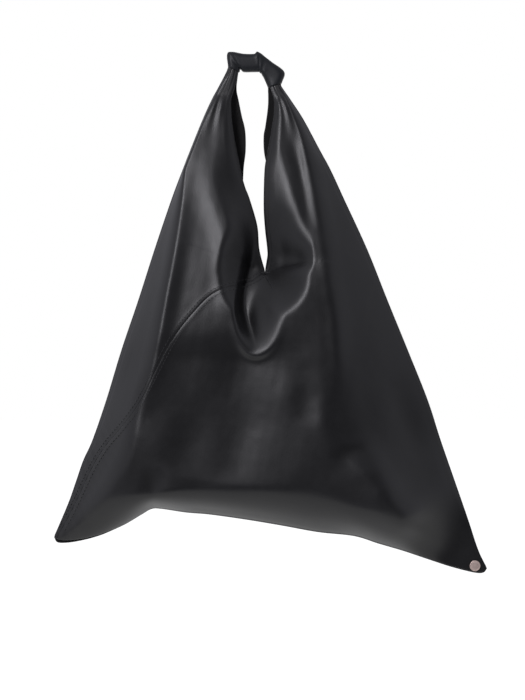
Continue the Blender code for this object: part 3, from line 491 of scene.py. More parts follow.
def crease(fold, x, z):
    """How far one fold lifts or sinks the skin"""
    pixels, heights, left, right = fold
    gap, side, place = nearest(smooth(from_pixels(pixels), 6), x, z)
    reach = np.where(side > 0, left, right)
    lift = table(np.linspace(0.0, 1.0, len(heights)), heights, place)
    if heights[0] == 0.0:
        lift = lift * ease(place / FOLD_END_SHARE)
    if heights[-1] == 0.0:
        lift = lift * ease((1.0 - place) / FOLD_END_SHARE)
    return lift * np.exp(-((FOLD_SHARPNESS * gap / reach) ** 2))


def waves(x, z, seed, shortest, longest, count=26):
    """A smooth random field of about unit height, the same on every run"""
    draw = np.random.default_rng(seed)
    total = np.zeros(np.shape(x))
    for _ in range(count):
        length = draw.uniform(shortest, longest)
        angle = draw.uniform(0.0, math.pi)
        phase = draw.uniform(0.0, 2 * math.pi)
        total += np.cos(2 * math.pi * (x * math.cos(angle) + z * math.sin(angle)) / length + phase)
    return total / math.sqrt(count / 2)


LEFT_EDGE = smooth(from_shares(LEFT_EDGE_SHARES))
RIGHT_EDGE = smooth(from_shares(RIGHT_EDGE_SHARES))
BOTTOM = smooth(from_shares(BOTTOM_SHARES))
FRONT_LEFT_MOUTH = smooth(from_shares(FRONT_LEFT_MOUTH_SHARES))
FRONT_RIGHT_MOUTH = smooth(from_shares(FRONT_RIGHT_MOUTH_SHARES))
BACK_LEFT_MOUTH = smooth(from_shares(BACK_LEFT_MOUTH_SHARES))
BACK_RIGHT_MOUTH = smooth(from_shares(BACK_RIGHT_MOUTH_SHARES))
FRONT_SEAM = smooth(from_shares(FRONT_SEAM_SHARES))
BACK_SEAM = smooth(from_shares(BACK_SEAM_SHARES))
ROLL_CENTRE = from_pixels(ROLL_CENTRE_PIXELS)


def rim_line(table):
    """The rim's line, and its width, lip and trough at each of its points"""
    table = np.array(table, float)
    knots = np.hstack([from_pixels(table[:, :2]), table[:, 2:]])
    return smooth(knots, 6)


SIDES = {
    FRONT: {
        "swell": FRONT_SWELL,
        "ridges": (smooth(from_pixels(LEFT_RIDGE_PIXELS)), smooth(from_pixels(RIGHT_RIDGE_PIXELS))),
        "under": smooth(from_pixels(UNDER_PIXELS)),
        "mouth": (FRONT_LEFT_MOUTH, FRONT_RIGHT_MOUTH),
        "seam": FRONT_SEAM,
        "rim": rim_line(FRONT_RIM),
        "floor": FLOOR_HEIGHTS,
        "folds": FRONT_FOLDS,
        "seed": 11,
    },
    BACK: {
        "swell": BACK_SWELL,
        "ridges": (smooth(from_pixels(BACK_LEFT_RIDGE_PIXELS)), smooth(from_pixels(BACK_RIGHT_RIDGE_PIXELS))),
        "under": smooth(from_pixels(BACK_UNDER_PIXELS)),
        "mouth": (BACK_LEFT_MOUTH, BACK_RIGHT_MOUTH),
        "seam": BACK_SEAM,
        "rim": rim_line(BACK_RIM),
        "floor": BACK_FLOOR_HEIGHTS,
        "folds": BACK_FOLDS,
        "seed": 23,
    },
}


def faceted(side, x, z):
    """The plain form: a middle that turns to a facet on each side and to an underside"""
    left = across_at(LEFT_EDGE, z)
    right = across_at(RIGHT_EDGE, z)
    foot = np.interp(x, BOTTOM[:, 0], BOTTOM[:, 1])
    left_ridge = np.maximum(across_at(side["ridges"][0], z), left + GAP)
    right_ridge = np.minimum(across_at(side["ridges"][1], z), right - GAP)
    under = np.interp(x, side["under"][:, 0], side["under"][:, 1])
    tips = np.minimum(
        np.hypot(x - LEFT_EDGE[-1, 0], z - LEFT_EDGE[-1, 1]),
        np.hypot(x - RIGHT_EDGE[-1, 0], z - RIGHT_EDGE[-1, 1]),
    )
    level = side["swell"] * table(SWELL_DROP_SHARES, SWELL_SHARES, -z / BAG_DROP)
    level = level * np.sin(0.5 * math.pi * np.clip(tips / TIP_REACH, 0.0, 1.0)) ** TIP_POWER
    middle = np.clip((x - left_ridge) / np.maximum(right_ridge - left_ridge, GAP), 0.0, 1.0)
    level = level * (1.0 + CROWN_SHARE * (1.0 - (2.0 * middle - 1.0) ** 2))
    reach = np.maximum(level, GAP)
    left_share = np.clip((x - left) / (left_ridge - left), 0.0, FACET_RUN_ON)
    right_share = np.clip((right - x) / (right - right_ridge), 0.0, FACET_RUN_ON)
    under_share = np.clip((z - foot) / np.maximum(under - foot, GAP), 0.0, FACET_RUN_ON)
    blend = np.minimum(FACET_BLEND, 0.5 * reach)
    sides = soft_min(reach * left_share**SIDE_POWER, reach * right_share**SIDE_POWER, blend)
    underside = soft_min(reach * under_share**UNDERSIDE_POWER, level, UNDER_BLEND_SHARE * blend)
    return soft_min(sides, underside, blend)


def hollowed(side, x, z, level):
    """The hollow around the mouth's foot, with the rolled lip at its rim"""
    rim = side["rim"]
    gap, _, place = nearest(rim[:, :2], x, z)
    within = inside(rim[:, :2], x, z)
    signed = np.where(within, gap, -gap)
    knots = shares_along(rim[:, :2])
    lip = np.interp(place, knots, rim[:, 3])
    trough = np.interp(place, knots, rim[:, 4])
    fallen = np.full(np.shape(x), np.inf)
    for start, end in zip(rim, rim[1:]):
        here = nearest(np.array([start[:2], end[:2]]), x, z)[0]
        fallen = np.minimum(fallen, here / (0.5 * (start[2] + end[2])))
    sink = ease(np.where(within, fallen, 0.0))
    floor = table(FLOOR_DOWN_PIXELS, side["floor"], HANG_PIXELS[1] - z / PIXEL)
    height = level * (1.0 - sink) + np.minimum(floor, level) * sink
    height = height + lip * np.exp(-((signed / LIP_WIDTH) ** 2))
    outward = np.maximum(-signed, 0.0) / TROUGH_REACH
    height = height - trough * outward * np.exp(1.0 - outward)
    return height, signed, lip


def puckered(side, x, z, height):
    """Small slanting puckers along the seam, near its lower tip"""
    gap, _, place = nearest(side["seam"], x, z)
    slant = (PUCKER_SLANT[0] * x + PUCKER_SLANT[1] * z) / PUCKER_LENGTH
    near = np.exp(-((gap / PUCKER_REACH) ** 2)) * ease((place - PUCKER_START_SHARE) / PUCKER_FADE_SHARE)
    return height + PUCKER_HEIGHT * near * np.cos(2 * math.pi * slant + PUCKER_DRIFT * x / BAG_WIDTH)


def neck_limit(z):
    """The most that a skin may stand off the middle plane where the ears are gathered"""
    under = np.maximum(-z - HINGE_DROP, 0.0)
    above = np.clip((HINGE_DROP + z) / HINGE_DROP, 0.0, 1.0)
    return NECK_RADIUS + (NECK_HALF - NECK_RADIUS) * above + NECK_FLARE * under - LEATHER - GAP / 2


def pleated(side, x, z, height):
    """Pleats that fan out from the gathered necks"""
    left = x < across_at(side["mouth"][0], z) + GAP
    inner = np.where(left, across_at(side["mouth"][0], z), across_at(side["mouth"][1], z))
    outer = np.where(left, across_at(LEFT_EDGE, z), across_at(RIGHT_EDGE, z))
    over = np.clip((x - outer) / np.where(np.abs(inner - outer) > GAP, inner - outer, GAP), 0.0, 1.0)
    fade = np.clip(1.0 + z / PLEAT_DROP, 0.0, 1.0) ** PLEAT_FADE_POWER
    turns = 2 * math.pi * np.where(left, *PLEAT_COUNTS)
    ripple = np.cos(turns * over**PLEAT_SPREAD_POWER + PLEAT_SHIFT) * np.sin(math.pi * over) ** 0.5
    return height + PLEAT_HEIGHT * fade * ripple


def relief(face, x, z):
    """How far a skin's inner side stands off the middle plane, and how far its lip rolls over"""
    side = SIDES[face]
    level = faceted(side, x, z)
    height, signed, lip = hollowed(side, x, z, level)
    edge = np.clip(level / (FOLD_THIN_SHARE * side["swell"]), 0.0, 1.0)
    for fold in side["folds"]:
        height = height + edge * crease(fold, x, z)
    for turn, (size, shortest, longest) in enumerate(UNEVENNESS):
        height = height + edge * size * waves(x, z, side["seed"] + turn, shortest, longest)
    height = puckered(side, x, z, height)
    mouth_gap = np.minimum(nearest(side["mouth"][0], x, z)[0], nearest(side["mouth"][1], x, z)[0])
    mouth_edge = table(MOUTH_DROP_SHARES, MOUTH_HEIGHTS, -z / BAG_DROP)
    height = soft_min(height, mouth_edge + MOUTH_SLOPE_SHARE * mouth_gap, FLOOR_BLEND)
    height = pleated(side, x, z, height)
    limit = neck_limit(z)
    height = soft_min(height, limit, np.minimum(NECK_BLEND, 0.5 * limit))
    reach = np.hypot(x - RIVET_SHARES[0] * BAG_WIDTH, z + RIVET_SHARES[1] * BAG_DROP)
    height = height * ease((reach - RIVET_FLAT) / (RIVET_BLEND - RIVET_FLAT))
    inset = np.minimum(x - across_at(LEFT_EDGE, z), across_at(RIGHT_EDGE, z) - x)
    height = np.maximum(height, 0.0) * np.clip(inset / EDGE_REACH, 0.0, 1.0) ** 0.5
    roll = LIP_SHIFT_SHARE * lip * np.exp(-((signed / LIP_WIDTH) ** 2))
    return height, roll


MOUTH_ROW_SHARES = (np.arange(MOUTH_ROWS) / MOUTH_ROWS) ** ROW_SHARE_POWER
SEAM_ROW_SHARES = np.linspace(0.0, 1.0, SEAM_ROWS + 1) ** SEAM_SHARE_POWER


def side_rows(mouth_line, seam_line):
    """A panel's side along its mouth edge and its seam, a point for each row"""
    return np.vstack([along(mouth_line, MOUTH_ROW_SHARES), along(seam_line, SEAM_ROW_SHARES)])


def edge_rows(edge_line):
    """A panel's side along the bag's edge, a point for each row"""
    below_ear = EAR_LENGTH_SHARE + (1 - EAR_LENGTH_SHARE) * SEAM_ROW_SHARES
    return along(edge_line, np.concatenate([EAR_LENGTH_SHARE * MOUTH_ROW_SHARES, below_ear]))


def spread(length, columns):
    """Shares across a row, close together at both of its ends"""
    steps = np.array(EDGE_STEPS)
    ends = steps * min(1.0, EDGE_STEPS_SHARE * length / steps[-1]) / length
    return np.concatenate([ends[:-1], np.linspace(ends[-1], 1.0 - ends[-1], columns), 1.0 - ends[-2::-1]])


def panel_grid(left, right, columns, pulled_to_bottom):
    """Rows of (x, z) points between two sides that fall from the neck to a tip"""
    count = len(left)
    width = columns + 2 * (len(EDGE_STEPS) - 1)
    grid = np.zeros((count, width, 2))
    for row in range(count):
        over = spread(max(np.linalg.norm(right[row] - left[row]), GAP), columns)[:, None]
        grid[row] = left[row] * (1.0 - over) + right[row] * over
        if pulled_to_bottom:
            last = left[-1] * (1.0 - over) + right[-1] * over
            lift = np.interp(last[:, 0], BOTTOM[:, 0], BOTTOM[:, 1]) - last[:, 1]
            share = over[:, 0]
            lift = lift - lift[0] * (1.0 - share) ** SIDE_HOLD_SHARE - lift[-1] * share**SIDE_HOLD_SHARE
            grid[row, :, 1] += lift * (row / (count - 1)) ** BOTTOM_PULL_SHARE
    return grid


def softened(height, rounds):
    """Heights with their small kinks smoothed out, held along the sheet's border"""
    for _ in range(rounds):
        middle = height[1:-1, 1:-1]
        around = height[:-2, 1:-1] + height[2:, 1:-1] + height[1:-1, :-2] + height[1:-1, 2:]
        height = height.copy()
        height[1:-1, 1:-1] = 0.5 * middle + 0.125 * around
    return height


def quad_faces(rows, columns, start, flip):
    index = start + np.arange(rows * columns).reshape(rows, columns)
    ring = [index[:-1, :-1], index[:-1, 1:], index[1:, 1:], index[1:, :-1]]
    if flip:
        ring = ring[::-1]
    return np.stack([corner.ravel() for corner in ring], axis=-1)


def mesh_object(name, vertices, faces, materials, slots=None):
    mesh = bpy.data.meshes.new(name)
    mesh.from_pydata([tuple(v) for v in vertices], [], [tuple(f) for f in faces])
    mesh.validate()
    for material in materials:
        mesh.materials.append(material)
    if slots is not None:
        mesh.polygons.foreach_set("material_index", np.array(slots, np.int32))
    mesh.shade_smooth()
    thing = bpy.data.objects.new(name, mesh)
    bpy.context.scene.collection.objects.link(thing)
    return thing


def paint(thing, name, values):
    """Store one value for each vertex, for a material to read"""
    layer = thing.data.attributes.new(name, "FLOAT", "POINT")
    layer.data.foreach_set("value", np.asarray(values, np.float32))


def seam_profile(gap):
    """A seam dips at its join and is padded beside it, under its stitches"""
    dip = -SEAM_DIP * np.exp(-((gap / SEAM_DIP_REACH) ** 2))
    return dip + SEAM_PAD * np.exp(-(((gap - SEAM_PAD_REACH) / SEAM_PAD_WIDTH) ** 2))


def steepness(x, depth, z):
    """How much longer a skin's slant is than its step across the middle plane"""
    skin = np.stack([x, depth, z], axis=-1)
    normal = np.cross(np.gradient(skin, axis=0), np.gradient(skin, axis=1))
    facing = np.maximum(np.abs(normal[..., 1]), 1e-12)
    return np.minimum(np.linalg.norm(normal, axis=-1) / facing, STEEP_SHARE)


def panel_sides(grid, face):
    """A panel's outer and inner points, and how far each spot stands above what is around it"""
    x = grid[..., 0]
    z = grid[..., 1]
    height, roll = relief(face, x, z)
    height = np.maximum(softened(height, SMOOTHING_ROUNDS), 0.0)
    seam_gap = nearest(SIDES[face]["seam"], x, z)[0]
    outer = GAP / 2 + LEATHER + height + seam_profile(seam_gap) * ease(height / SEAM_FADE_HEIGHT)
    thick = np.minimum(LEATHER * steepness(x, outer, z), LEATHER + height)
    away_x = x - ROLL_CENTRE[0]
    away_z = z - ROLL_CENTRE[1]
    length = np.maximum(np.hypot(away_x, away_z), GAP)
    out_x = x + roll * away_x / length
    out_z = z + roll * away_z / length
    top = np.stack([out_x, face * outer, out_z], axis=-1)
    under = np.stack([out_x, face * (outer - thick), out_z], axis=-1)
    return top, under, height - softened(height, RUB_AND_SHADE_ROUNDS)


def border_of(rows, columns):
    """A panel's outermost points in order, as (row, column)"""
    border = [(0, column) for column in range(columns - 1)]
    border += [(row, columns - 1) for row in range(rows - 1)]
    border += [(rows - 1, column) for column in range(columns - 1, 0, -1)]
    return border + [(row, 0) for row in range(rows - 1, 0, -1)]


def cut_edge(top, under, border, at_seam):
    """The points of a panel's rounded edge, one ring for each of RIM_STEPS, left flat at the seam"""
    rows, columns = top.shape[:2]
    points = []
    for share, bulge in RIM_STEPS:
        for (row, column), flat in zip(border, at_seam):
            middle = top[row, column] * (1.0 - share) + under[row, column] * share
            beside = top[min(max(row, 1), rows - 2), min(max(column, 1), columns - 2)]
            away = top[row, column] - beside
            away[1] = 0.0
            points.append(middle + away / max(np.linalg.norm(away), TINY) * (0.0 if flat else bulge))
    return np.array(points)


def make_panel(name, grid, face, materials, seam_on_left):
    """One panel of leather: a closed shell with rounded edges"""
    top, under, raised = panel_sides(grid, face)
    rows, columns = top.shape[:2]
    count = rows * columns
    border = border_of(rows, columns)
    seam_column = 0 if seam_on_left else columns - 1
    at_seam = [column == seam_column and row >= MOUTH_ROWS for row, column in border]
    ring = np.array([row * columns + column for row, column in border])
    total = len(ring)
    belts = [ring] + [2 * count + total * step + np.arange(total) for step in range(len(RIM_STEPS))]
    belts.append(ring + count)
    edge_faces = []
    for near, far in zip(belts, belts[1:]):
        quads = np.stack([near, far, np.roll(far, -1), np.roll(near, -1)], axis=-1)
        edge_faces.append(quads if face == FRONT else quads[:, ::-1])
    outward = quad_faces(rows, columns, 0, face == BACK)
    inward = quad_faces(rows, columns, count, face == FRONT)
    faces = np.vstack([outward, inward, *edge_faces])
    slots = np.zeros(len(faces))
    slots[len(outward):len(outward) + len(inward)] = 1
    vertices = np.vstack([top.reshape(-1, 3), under.reshape(-1, 3), cut_edge(top, under, border, at_seam)])
    panel = mesh_object(name, vertices, faces, materials, slots)
    smooth_faces = np.ones(len(faces), bool)
    smooth_faces[len(outward) + len(inward):] = ~np.tile(at_seam, len(belts) - 1)
    panel.data.polygons.foreach_set("use_smooth", smooth_faces)
    # Lighter where a spot stands out, as rubbed wear; darker where it sinks into a hollow or crease, as
    # painted shade; cut edges rubbed
    worn_and_shaded = np.zeros(len(vertices))
    worn_and_shaded[:count] = np.clip(raised.ravel() / RUB_AND_SHADE_HEIGHT, -1.0, 1.0)
    worn_and_shaded[2 * count:] = EDGE_WEAR
    paint(panel, "wear_and_crease_shade", worn_and_shaded)
    return panel


def skin_tree(pieces):
    """A tree of several pieces' faces, to set things on"""
    vertices = []
    faces = []
    for piece in pieces:
        start = len(vertices)
        vertices += [vertex.co.copy() for vertex in piece.data.vertices]
        faces += [tuple(start + index for index in polygon.vertices) for polygon in piece.data.polygons]
    return BVHTree.FromPolygons(vertices, faces)


def seat(tree, x, z, face):
    """The place on the bag's outer skin in front of or behind a point of the middle plane"""
    place, normal, _, _ = tree.ray_cast(Vector((x, face * BAG_WIDTH, z)), Vector((0.0, -face, 0.0)))
    if place is None:
        place, normal, _, _ = tree.find_nearest(Vector((x, face * FRONT_SWELL, z)))
    if normal.y * face < 0.0:
        normal = -normal
    return place, normal


def ring_faces(rings, steps, closed=False):
    """Faces between rings of points, each ring closed on itself"""
    faces = []
    for ring in range(rings if closed else rings - 1):
        low = ring * steps
        high = (ring + 1) % rings * steps
        for turn in range(steps):
            after = (turn + 1) % steps
            faces.append((low + turn, low + after, high + after, high + turn))
    return faces


def capped_faces(rings, steps):
    """Faces of a tube of rings with a cap on each end"""
    last = (rings - 1) * steps
    return ring_faces(rings, steps) + [tuple(reversed(range(steps))), tuple(range(last, last + steps))]


def capsule(start, end, normal, radius=THREAD_RADIUS, arch=STITCH_ARCH, sides=8, steps=7):
    """A short thread with round ends that bows over what it lies on"""
    run = end - start
    forward = run.normalized()
    across = forward.cross(normal).normalized()
    up = across.cross(forward)
    points = []
    for step in range(steps):
        share = step / (steps - 1)
        middle = start + run * share + up * arch * math.sin(math.pi * share)
        thick = radius * math.sqrt(max(1.0 - abs(2.0 * share - 1.0) ** 4, 0.02))
        for turn in range(sides):
            angle = 2 * math.pi * turn / sides
            points.append(middle + across * thick * math.cos(angle) + up * thick * math.sin(angle))
    return points, [(face[0], *face[:0:-1]) for face in capped_faces(steps, sides)]


def joined(name, pieces, material):
    """Several small closed meshes as one object"""
    vertices = []
    faces = []
    for points, polygons in pieces:
        start = len(vertices)
        vertices += points
        faces += [tuple(start + index for index in polygon) for polygon in polygons]
    return mesh_object(name, vertices, faces, [material])


def stitch_ends(line):
    """Both ends of each stitch along a line"""
    length = lengths_along(line)[-1]
    middles = (np.arange(int(length / STITCH_PITCH)) + 0.5) * STITCH_PITCH
    return [along(line, np.array([middle - STITCH_LENGTH / 2, middle + STITCH_LENGTH / 2]) / length)
            for middle in middles]


def stitch_row(name, line, tree, face, material):
    """Single stitches along a line, each half sunk in the leather"""
    pieces = []
    for first, last in stitch_ends(line):
        start, normal = seat(tree, *first, face)
        end, _ = seat(tree, *last, face)
        if (end - start).length <= LONGEST_STITCH_SHARE * STITCH_LENGTH:
            sink = normal * STITCH_SINK
            pieces.append(capsule(start - sink, end - sink, normal))
    return joined(name, pieces, material)


def make_tack(name, tree, face, material):
    """A bar of close stitches over the foot of the mouth, with two slanting ones across it"""
    x, z = from_shares(MOUTH_FOOT_SHARES) - np.array([0.0, TACK_HEIGHT])
    threads = []
    for index in range(TACK_STITCHES):
        across = x + (index / (TACK_STITCHES - 1) - 0.5) * TACK_LENGTH
        threads.append((across, across, TACK_HEIGHT / 2, 1.0, 1.05, 1.0))
    for reach in (-TACK_LENGTH * TACK_SLANT_SHARE, TACK_LENGTH * TACK_SLANT_SHARE):
        threads.append((x - reach, x + reach, TACK_HEIGHT, 2.6, 1.0, 1.5))
    pieces = []
    for start_x, end_x, rise, lift_share, radius_share, arch_share in threads:
        low, normal = seat(tree, start_x, z - rise, face)
        high, _ = seat(tree, end_x, z + rise, face)
        lift = normal * THREAD_RADIUS * lift_share
        pieces.append(capsule(
            low + lift, high + lift, normal, THREAD_RADIUS * radius_share, THREAD_RADIUS * arch_share,
        ))
    return joined(name, pieces, material)


def face_outward(thing):
    shell = bmesh.new()
    shell.from_mesh(thing.data)
    bmesh.ops.recalc_face_normals(shell, faces=shell.faces)
    shell.to_mesh(thing.data)
    shell.free()


def turned(name, profile, centre, face, material, steps=72):
    """A round piece turned about the Y axis from (radius, height) points, from its middle out"""
    points = []
    for radius, height in profile:
        for turn in range(steps):
            angle = 2 * math.pi * turn / steps
            x = centre[0] + radius * math.cos(angle)
            points.append((x, face * height, centre[1] + radius * math.sin(angle)))
    piece = mesh_object(name, points, capped_faces(len(profile), steps), [material])
    face_outward(piece)
    piece.data.set_sharp_from_angle(angle=math.radians(40))
    return piece


def rivet_profile(radius, thickness, seat_height):
    """A button with a turned-under rim, a shallow ring and a slightly domed face"""
    dome = [
        (share * radius, seat_height + thickness * (1.0 - 0.16 * share**2))
        for share in (0.02, 0.2, 0.4, 0.6, 0.72)
    ]
    ring = [
        (0.76 * radius, seat_height + 0.88 * thickness), (0.80 * radius, seat_height + 0.86 * thickness),
        (0.84 * radius, seat_height + 0.92 * thickness),
    ]
    rim = [
        (radius * (0.90 + 0.10 * math.sin(angle)), seat_height + thickness * (0.45 + 0.45 * math.cos(angle)))
        for angle in np.linspace(0.2, math.pi, 9)
    ]
    return dome + ring + rim + [(0.80 * radius, seat_height)]


def sleeve_curve(count):
    """Outer and inner ends of the sleeve's sections, along a smooth line through the part's own"""
    table = np.array(SLEEVE_SHARES, float).reshape(len(SLEEVE_SHARES), 4) * SLEEVE_WIDTH
    knots = np.vstack([2 * table[0] - table[1], table, 2 * table[-1] - table[-2]])
    spots = np.linspace(0.0, len(table) - 1.0001, count)
    ends = [curve_at(knots[int(spot):int(spot) + 4], spot - int(spot)) for spot in spots]
    return spots, np.array(ends)


def squared(angles, power):
    """How far across and how deep the points of a round section with squared corners lie"""
    return [np.sign(wave) * np.abs(wave) ** power for wave in (np.cos(angles), np.sin(angles))]


def section_ring(outer, inner, across, deep):
    """A section's points around the middle of its outer and its inner end"""
    middle = (outer + inner) / 2
    reach = (outer - inner) / 2
    return np.stack([middle[0] + reach[0] * across, deep, middle[1] + reach[1] * across], axis=-1)


def rounded_end(outside, lined, end, inward):
    """The ring that stands out between the leather's two sides at one end of the sleeve"""
    lip = outside[end] - outside[inward]
    lip = lip / np.linalg.norm(lip, axis=1)[:, None]
    return ((outside[end] + lined[end]) / 2 + lip * RIM_BULGE)[None]


def make_sleeve(material, lining):
    """The handle's sleeve: a boxy tube of leather, bent over at both ends"""
    spots, ends = sleeve_curve(SLEEVE_RINGS)
    angles = (np.arange(SLEEVE_STEPS) + 0.5) * 2 * math.pi / SLEEVE_STEPS
    over, deep = squared(angles, SQUARENESS_SHARE)
    outside = []
    lined = []
    for spot, place in zip(spots, ends):
        outer = place[:2]
        inner = place[2:]
        half = np.linalg.norm((outer - inner) / 2)
        dent = np.zeros(SLEEVE_STEPS)
        for middle, width, depth in SLEEVE_WRINKLES:
            fall = np.exp(-(((spot - middle) / width) ** 2))
            dent -= depth * fall * (0.35 + 0.65 * np.clip(-over, 0.0, 1.0))
        ripple = np.cos(3 * angles + 2.1 * spot) * (1 - np.abs(over))
        dent -= SLEEVE_RIPPLE * ripple * ease(abs(spot - SLEEVE_MIDDLE) - 0.4)
        shrink = 1.0 + dent / half
        for rings, inset in ((outside, 0.0), (lined, SLEEVE_LEATHER)):
            across = over * shrink * (1.0 - inset / half)
            rings.append(section_ring(outer, inner, across, deep * shrink * (SLEEVE_DEPTH / 2 - inset)))
    outside = np.array(outside)
    lined = np.array(lined)
    first = rounded_end(outside, lined, 0, 1)
    last = rounded_end(outside, lined, -1, -2)
    rings = np.concatenate([first, outside, last, lined[::-1]])
    faces = ring_faces(len(rings), SLEEVE_STEPS, closed=True)
    slots = [SLEEVE_RINGS + 2 <= face // SLEEVE_STEPS < len(rings) - 1 for face in range(len(faces))]
    sleeve = mesh_object("handle_sleeve_leather", rings.reshape(-1, 3), faces, [material, lining], slots)
    paint(sleeve, "wear_and_crease_shade", np.zeros(len(sleeve.data.vertices)))
    return sleeve


def make_sleeve_stitches(material):
    """The row of stitches that closes the sleeve, along the middle of its back"""
    _, ends = sleeve_curve(200)
    normal = Vector((0.0, 1.0, 0.0))
    pieces = []
    for places in stitch_ends((ends[:, :2] + ends[:, 2:]) / 2)[1:-1]:
        start, end = (Vector((x, SLEEVE_DEPTH / 2, z)) for x, z in places)
        pieces.append(capsule(start, end, normal))
    return joined("sleeve_stitches", pieces, material)


def gather(name, sections, material):
    """A pleated bundle: the end of an ear, drawn together inside the sleeve"""
    angles = np.arange(GATHER_STEPS) * 2 * math.pi / GATHER_STEPS
    over, deep = squared(angles, GATHER_POWER)
    pleat = 1.0 - GATHER_PLEAT_SHARE * (0.5 + 0.5 * np.cos(GATHER_PLEATS * angles + 0.8))
    rings = [section_ring(outer, inner, over * pleat, half * deep * pleat) for outer, inner, half in sections]
    piece = mesh_object(name, np.vstack(rings), capped_faces(len(rings), GATHER_STEPS), [material])
    face_outward(piece)
    return piece


def make_gathers(material):
    """Both ears' ends inside the sleeve"""
    _, ends = sleeve_curve(57)
    inset = SLEEVE_LEATHER + GAP
    pieces = []
    for (name, places), edge, mouth, sign in (
        (LEFT_GATHER, LEFT_EDGE, FRONT_LEFT_MOUTH, 1), (RIGHT_GATHER, RIGHT_EDGE, FRONT_RIGHT_MOUTH, -1),
    ):
        outer = np.array([across_at(edge, -GATHER_FOOT) + sign * GAP, -GATHER_FOOT])
        inner = np.array([across_at(mouth, -GATHER_FOOT) - sign * GAP, -GATHER_FOOT])
        sections = [(outer, inner, GATHER_FOOT_HALF)]
        for index, pull in places:
            outer = ends[index][:2]
            inner = ends[index][2:]
            step = (outer - inner) / np.linalg.norm(outer - inner) * (inset + pull)
            sections.append((outer - step, inner + step, SLEEVE_DEPTH / 2 - inset - pull))
        pieces.append(gather(name, sections, material))
    return pieces


def add_node(tree, kind, inputs=None, **settings):
    """A shader node, with its settings, and its inputs given as values or as other nodes' outputs"""
    made = tree.nodes.new(kind)
    for name, value in settings.items():
        setattr(made, name, value)
    for name, value in (inputs or {}).items():
        if isinstance(value, bpy.types.NodeSocket):
            tree.links.new(value, made.inputs[name])
        else:
            made.inputs[name].default_value = value
    return made


def scaled(tree, value, low, high, new_low, new_high):
    """A value moved from one range to another"""
    inputs = {"Value": value, "From Min": low, "From Max": high, "To Min": new_low, "To Max": new_high}
    return add_node(tree, "ShaderNodeMapRange", inputs).outputs["Result"]


def maths(tree, operation, first, second):
    return add_node(tree, "ShaderNodeMath", {0: first, 1: second}, operation=operation).outputs[0]


def weighted(tree, *pairs):
    """The sum of several values, each times its weight"""
    total, *others = [maths(tree, "MULTIPLY", value, weight) for value, weight in pairs]
    for other in others:
        total = maths(tree, "ADD", total, other)
    return total


def noise(tree, place, scale, detail=3.0, roughness=0.55):
    inputs = {"Vector": place, "Scale": scale, "Detail": detail, "Roughness": roughness}
    return add_node(tree, "ShaderNodeTexNoise", inputs).outputs["Fac"]


def blank_material(name, **sockets):
    """A material with an empty Principled shader and object coordinates"""
    material = bpy.data.materials.new(name)
    material.use_nodes = True
    tree = material.node_tree
    shader = tree.nodes["Principled BSDF"]
    for socket, value in sockets.items():
        shader.inputs[socket.replace("_", " ")].default_value = value
    place = add_node(tree, "ShaderNodeTexCoord").outputs["Object"]
    return material, tree, shader, place


def tinted(tree, factor, first, second):
    """A colour between two others"""
    inputs = {0: factor, 6: (*first, 1.0), 7: (*second, 1.0)}
    return add_node(tree, "ShaderNodeMix", inputs, data_type="RGBA").outputs[2]


def complete(tree, shader, height, strength, distance, **inputs):
    """Join a shader to its colour or roughness and to a fine relief"""
    for name, value in inputs.items():
        tree.links.new(value, shader.inputs[name.replace("_", " ")])
    bump = add_node(tree, "ShaderNodeBump", {"Height": height, "Strength": strength, "Distance": distance})
    tree.links.new(bump.outputs["Normal"], shader.inputs["Normal"])


def leather_material(name):
    """Black leather: mottled, finely pebbled, satin, lighter where it is rubbed, and darker in hollows and
    creases as painted shade
    """
    dark, light, roughness, grain, creases, shine = LEATHERS[name]
    material, tree, shader, place = blank_material(name, Specular_IOR_Level=shine)
    # Painted shade: hollows and creases take a darker colour, while raised spots and cut edges lighten with
    # rubbing
    wear_and_crease_shade = add_node(tree, "ShaderNodeAttribute", attribute_name="wear_and_crease_shade").outputs["Fac"]
    mottle = weighted(tree, (noise(tree, place, 14.0, 4.0, 0.6), 0.7), (noise(tree, place, 160.0), 0.3))
    worn_and_shaded = maths(tree, "ADD", mottle, maths(tree, "MULTIPLY", wear_and_crease_shade, 0.35))
    colour = tinted(tree, scaled(tree, worn_and_shaded, 0.3, 0.9, 0.0, 1.0), dark, light)
    rough = scaled(tree, mottle, 0.35, 0.65, roughness - 0.02, roughness + 0.03)
    pebbles = add_node(
        tree, "ShaderNodeTexVoronoi", {"Vector": place, "Scale": 780.0}, feature="SMOOTH_F1",
    ).outputs["Distance"]
    pores = noise(tree, place, 1500.0, 2.0)
    wrinkles = noise(tree, place, 95.0, 5.0, 0.62)
    height = weighted(tree, (pebbles, grain), (pores, 0.4 * grain), (wrinkles, creases))
    complete(tree, shader, height, 0.55, 0.0004, Base_Color=colour, Roughness=rough)
    return material


def suede_material(name):
    """The leather's raw inner side: matte and fibrous"""
    material, tree, shader, place = blank_material(
        name, Roughness=0.92, Specular_IOR_Level=0.2, Sheen_Weight=0.15,
    )
    fibres = noise(tree, place, 420.0, 4.0, 0.7)
    colour = tinted(tree, fibres, (0.010, 0.010, 0.010), (0.022, 0.021, 0.021))
    complete(tree, shader, fibres, 0.5, 0.0004, Base_Color=colour)
    return material


def thread_material(name):
    """Waxed black thread with its twist"""
    material, tree, shader, place = blank_material(name)
    twist = add_node(
        tree, "ShaderNodeTexWave", {"Vector": place, "Scale": 260.0, "Distortion": 1.5},
        wave_type="BANDS", bands_direction="DIAGONAL",
    ).outputs["Fac"]
    colour = tinted(tree, twist, (0.010, 0.010, 0.011), (0.030, 0.030, 0.032))
    rough = scaled(tree, twist, 0.0, 1.0, 0.62, 0.45)
    complete(tree, shader, twist, 0.6, 0.0002, Base_Color=colour, Roughness=rough)
    return material


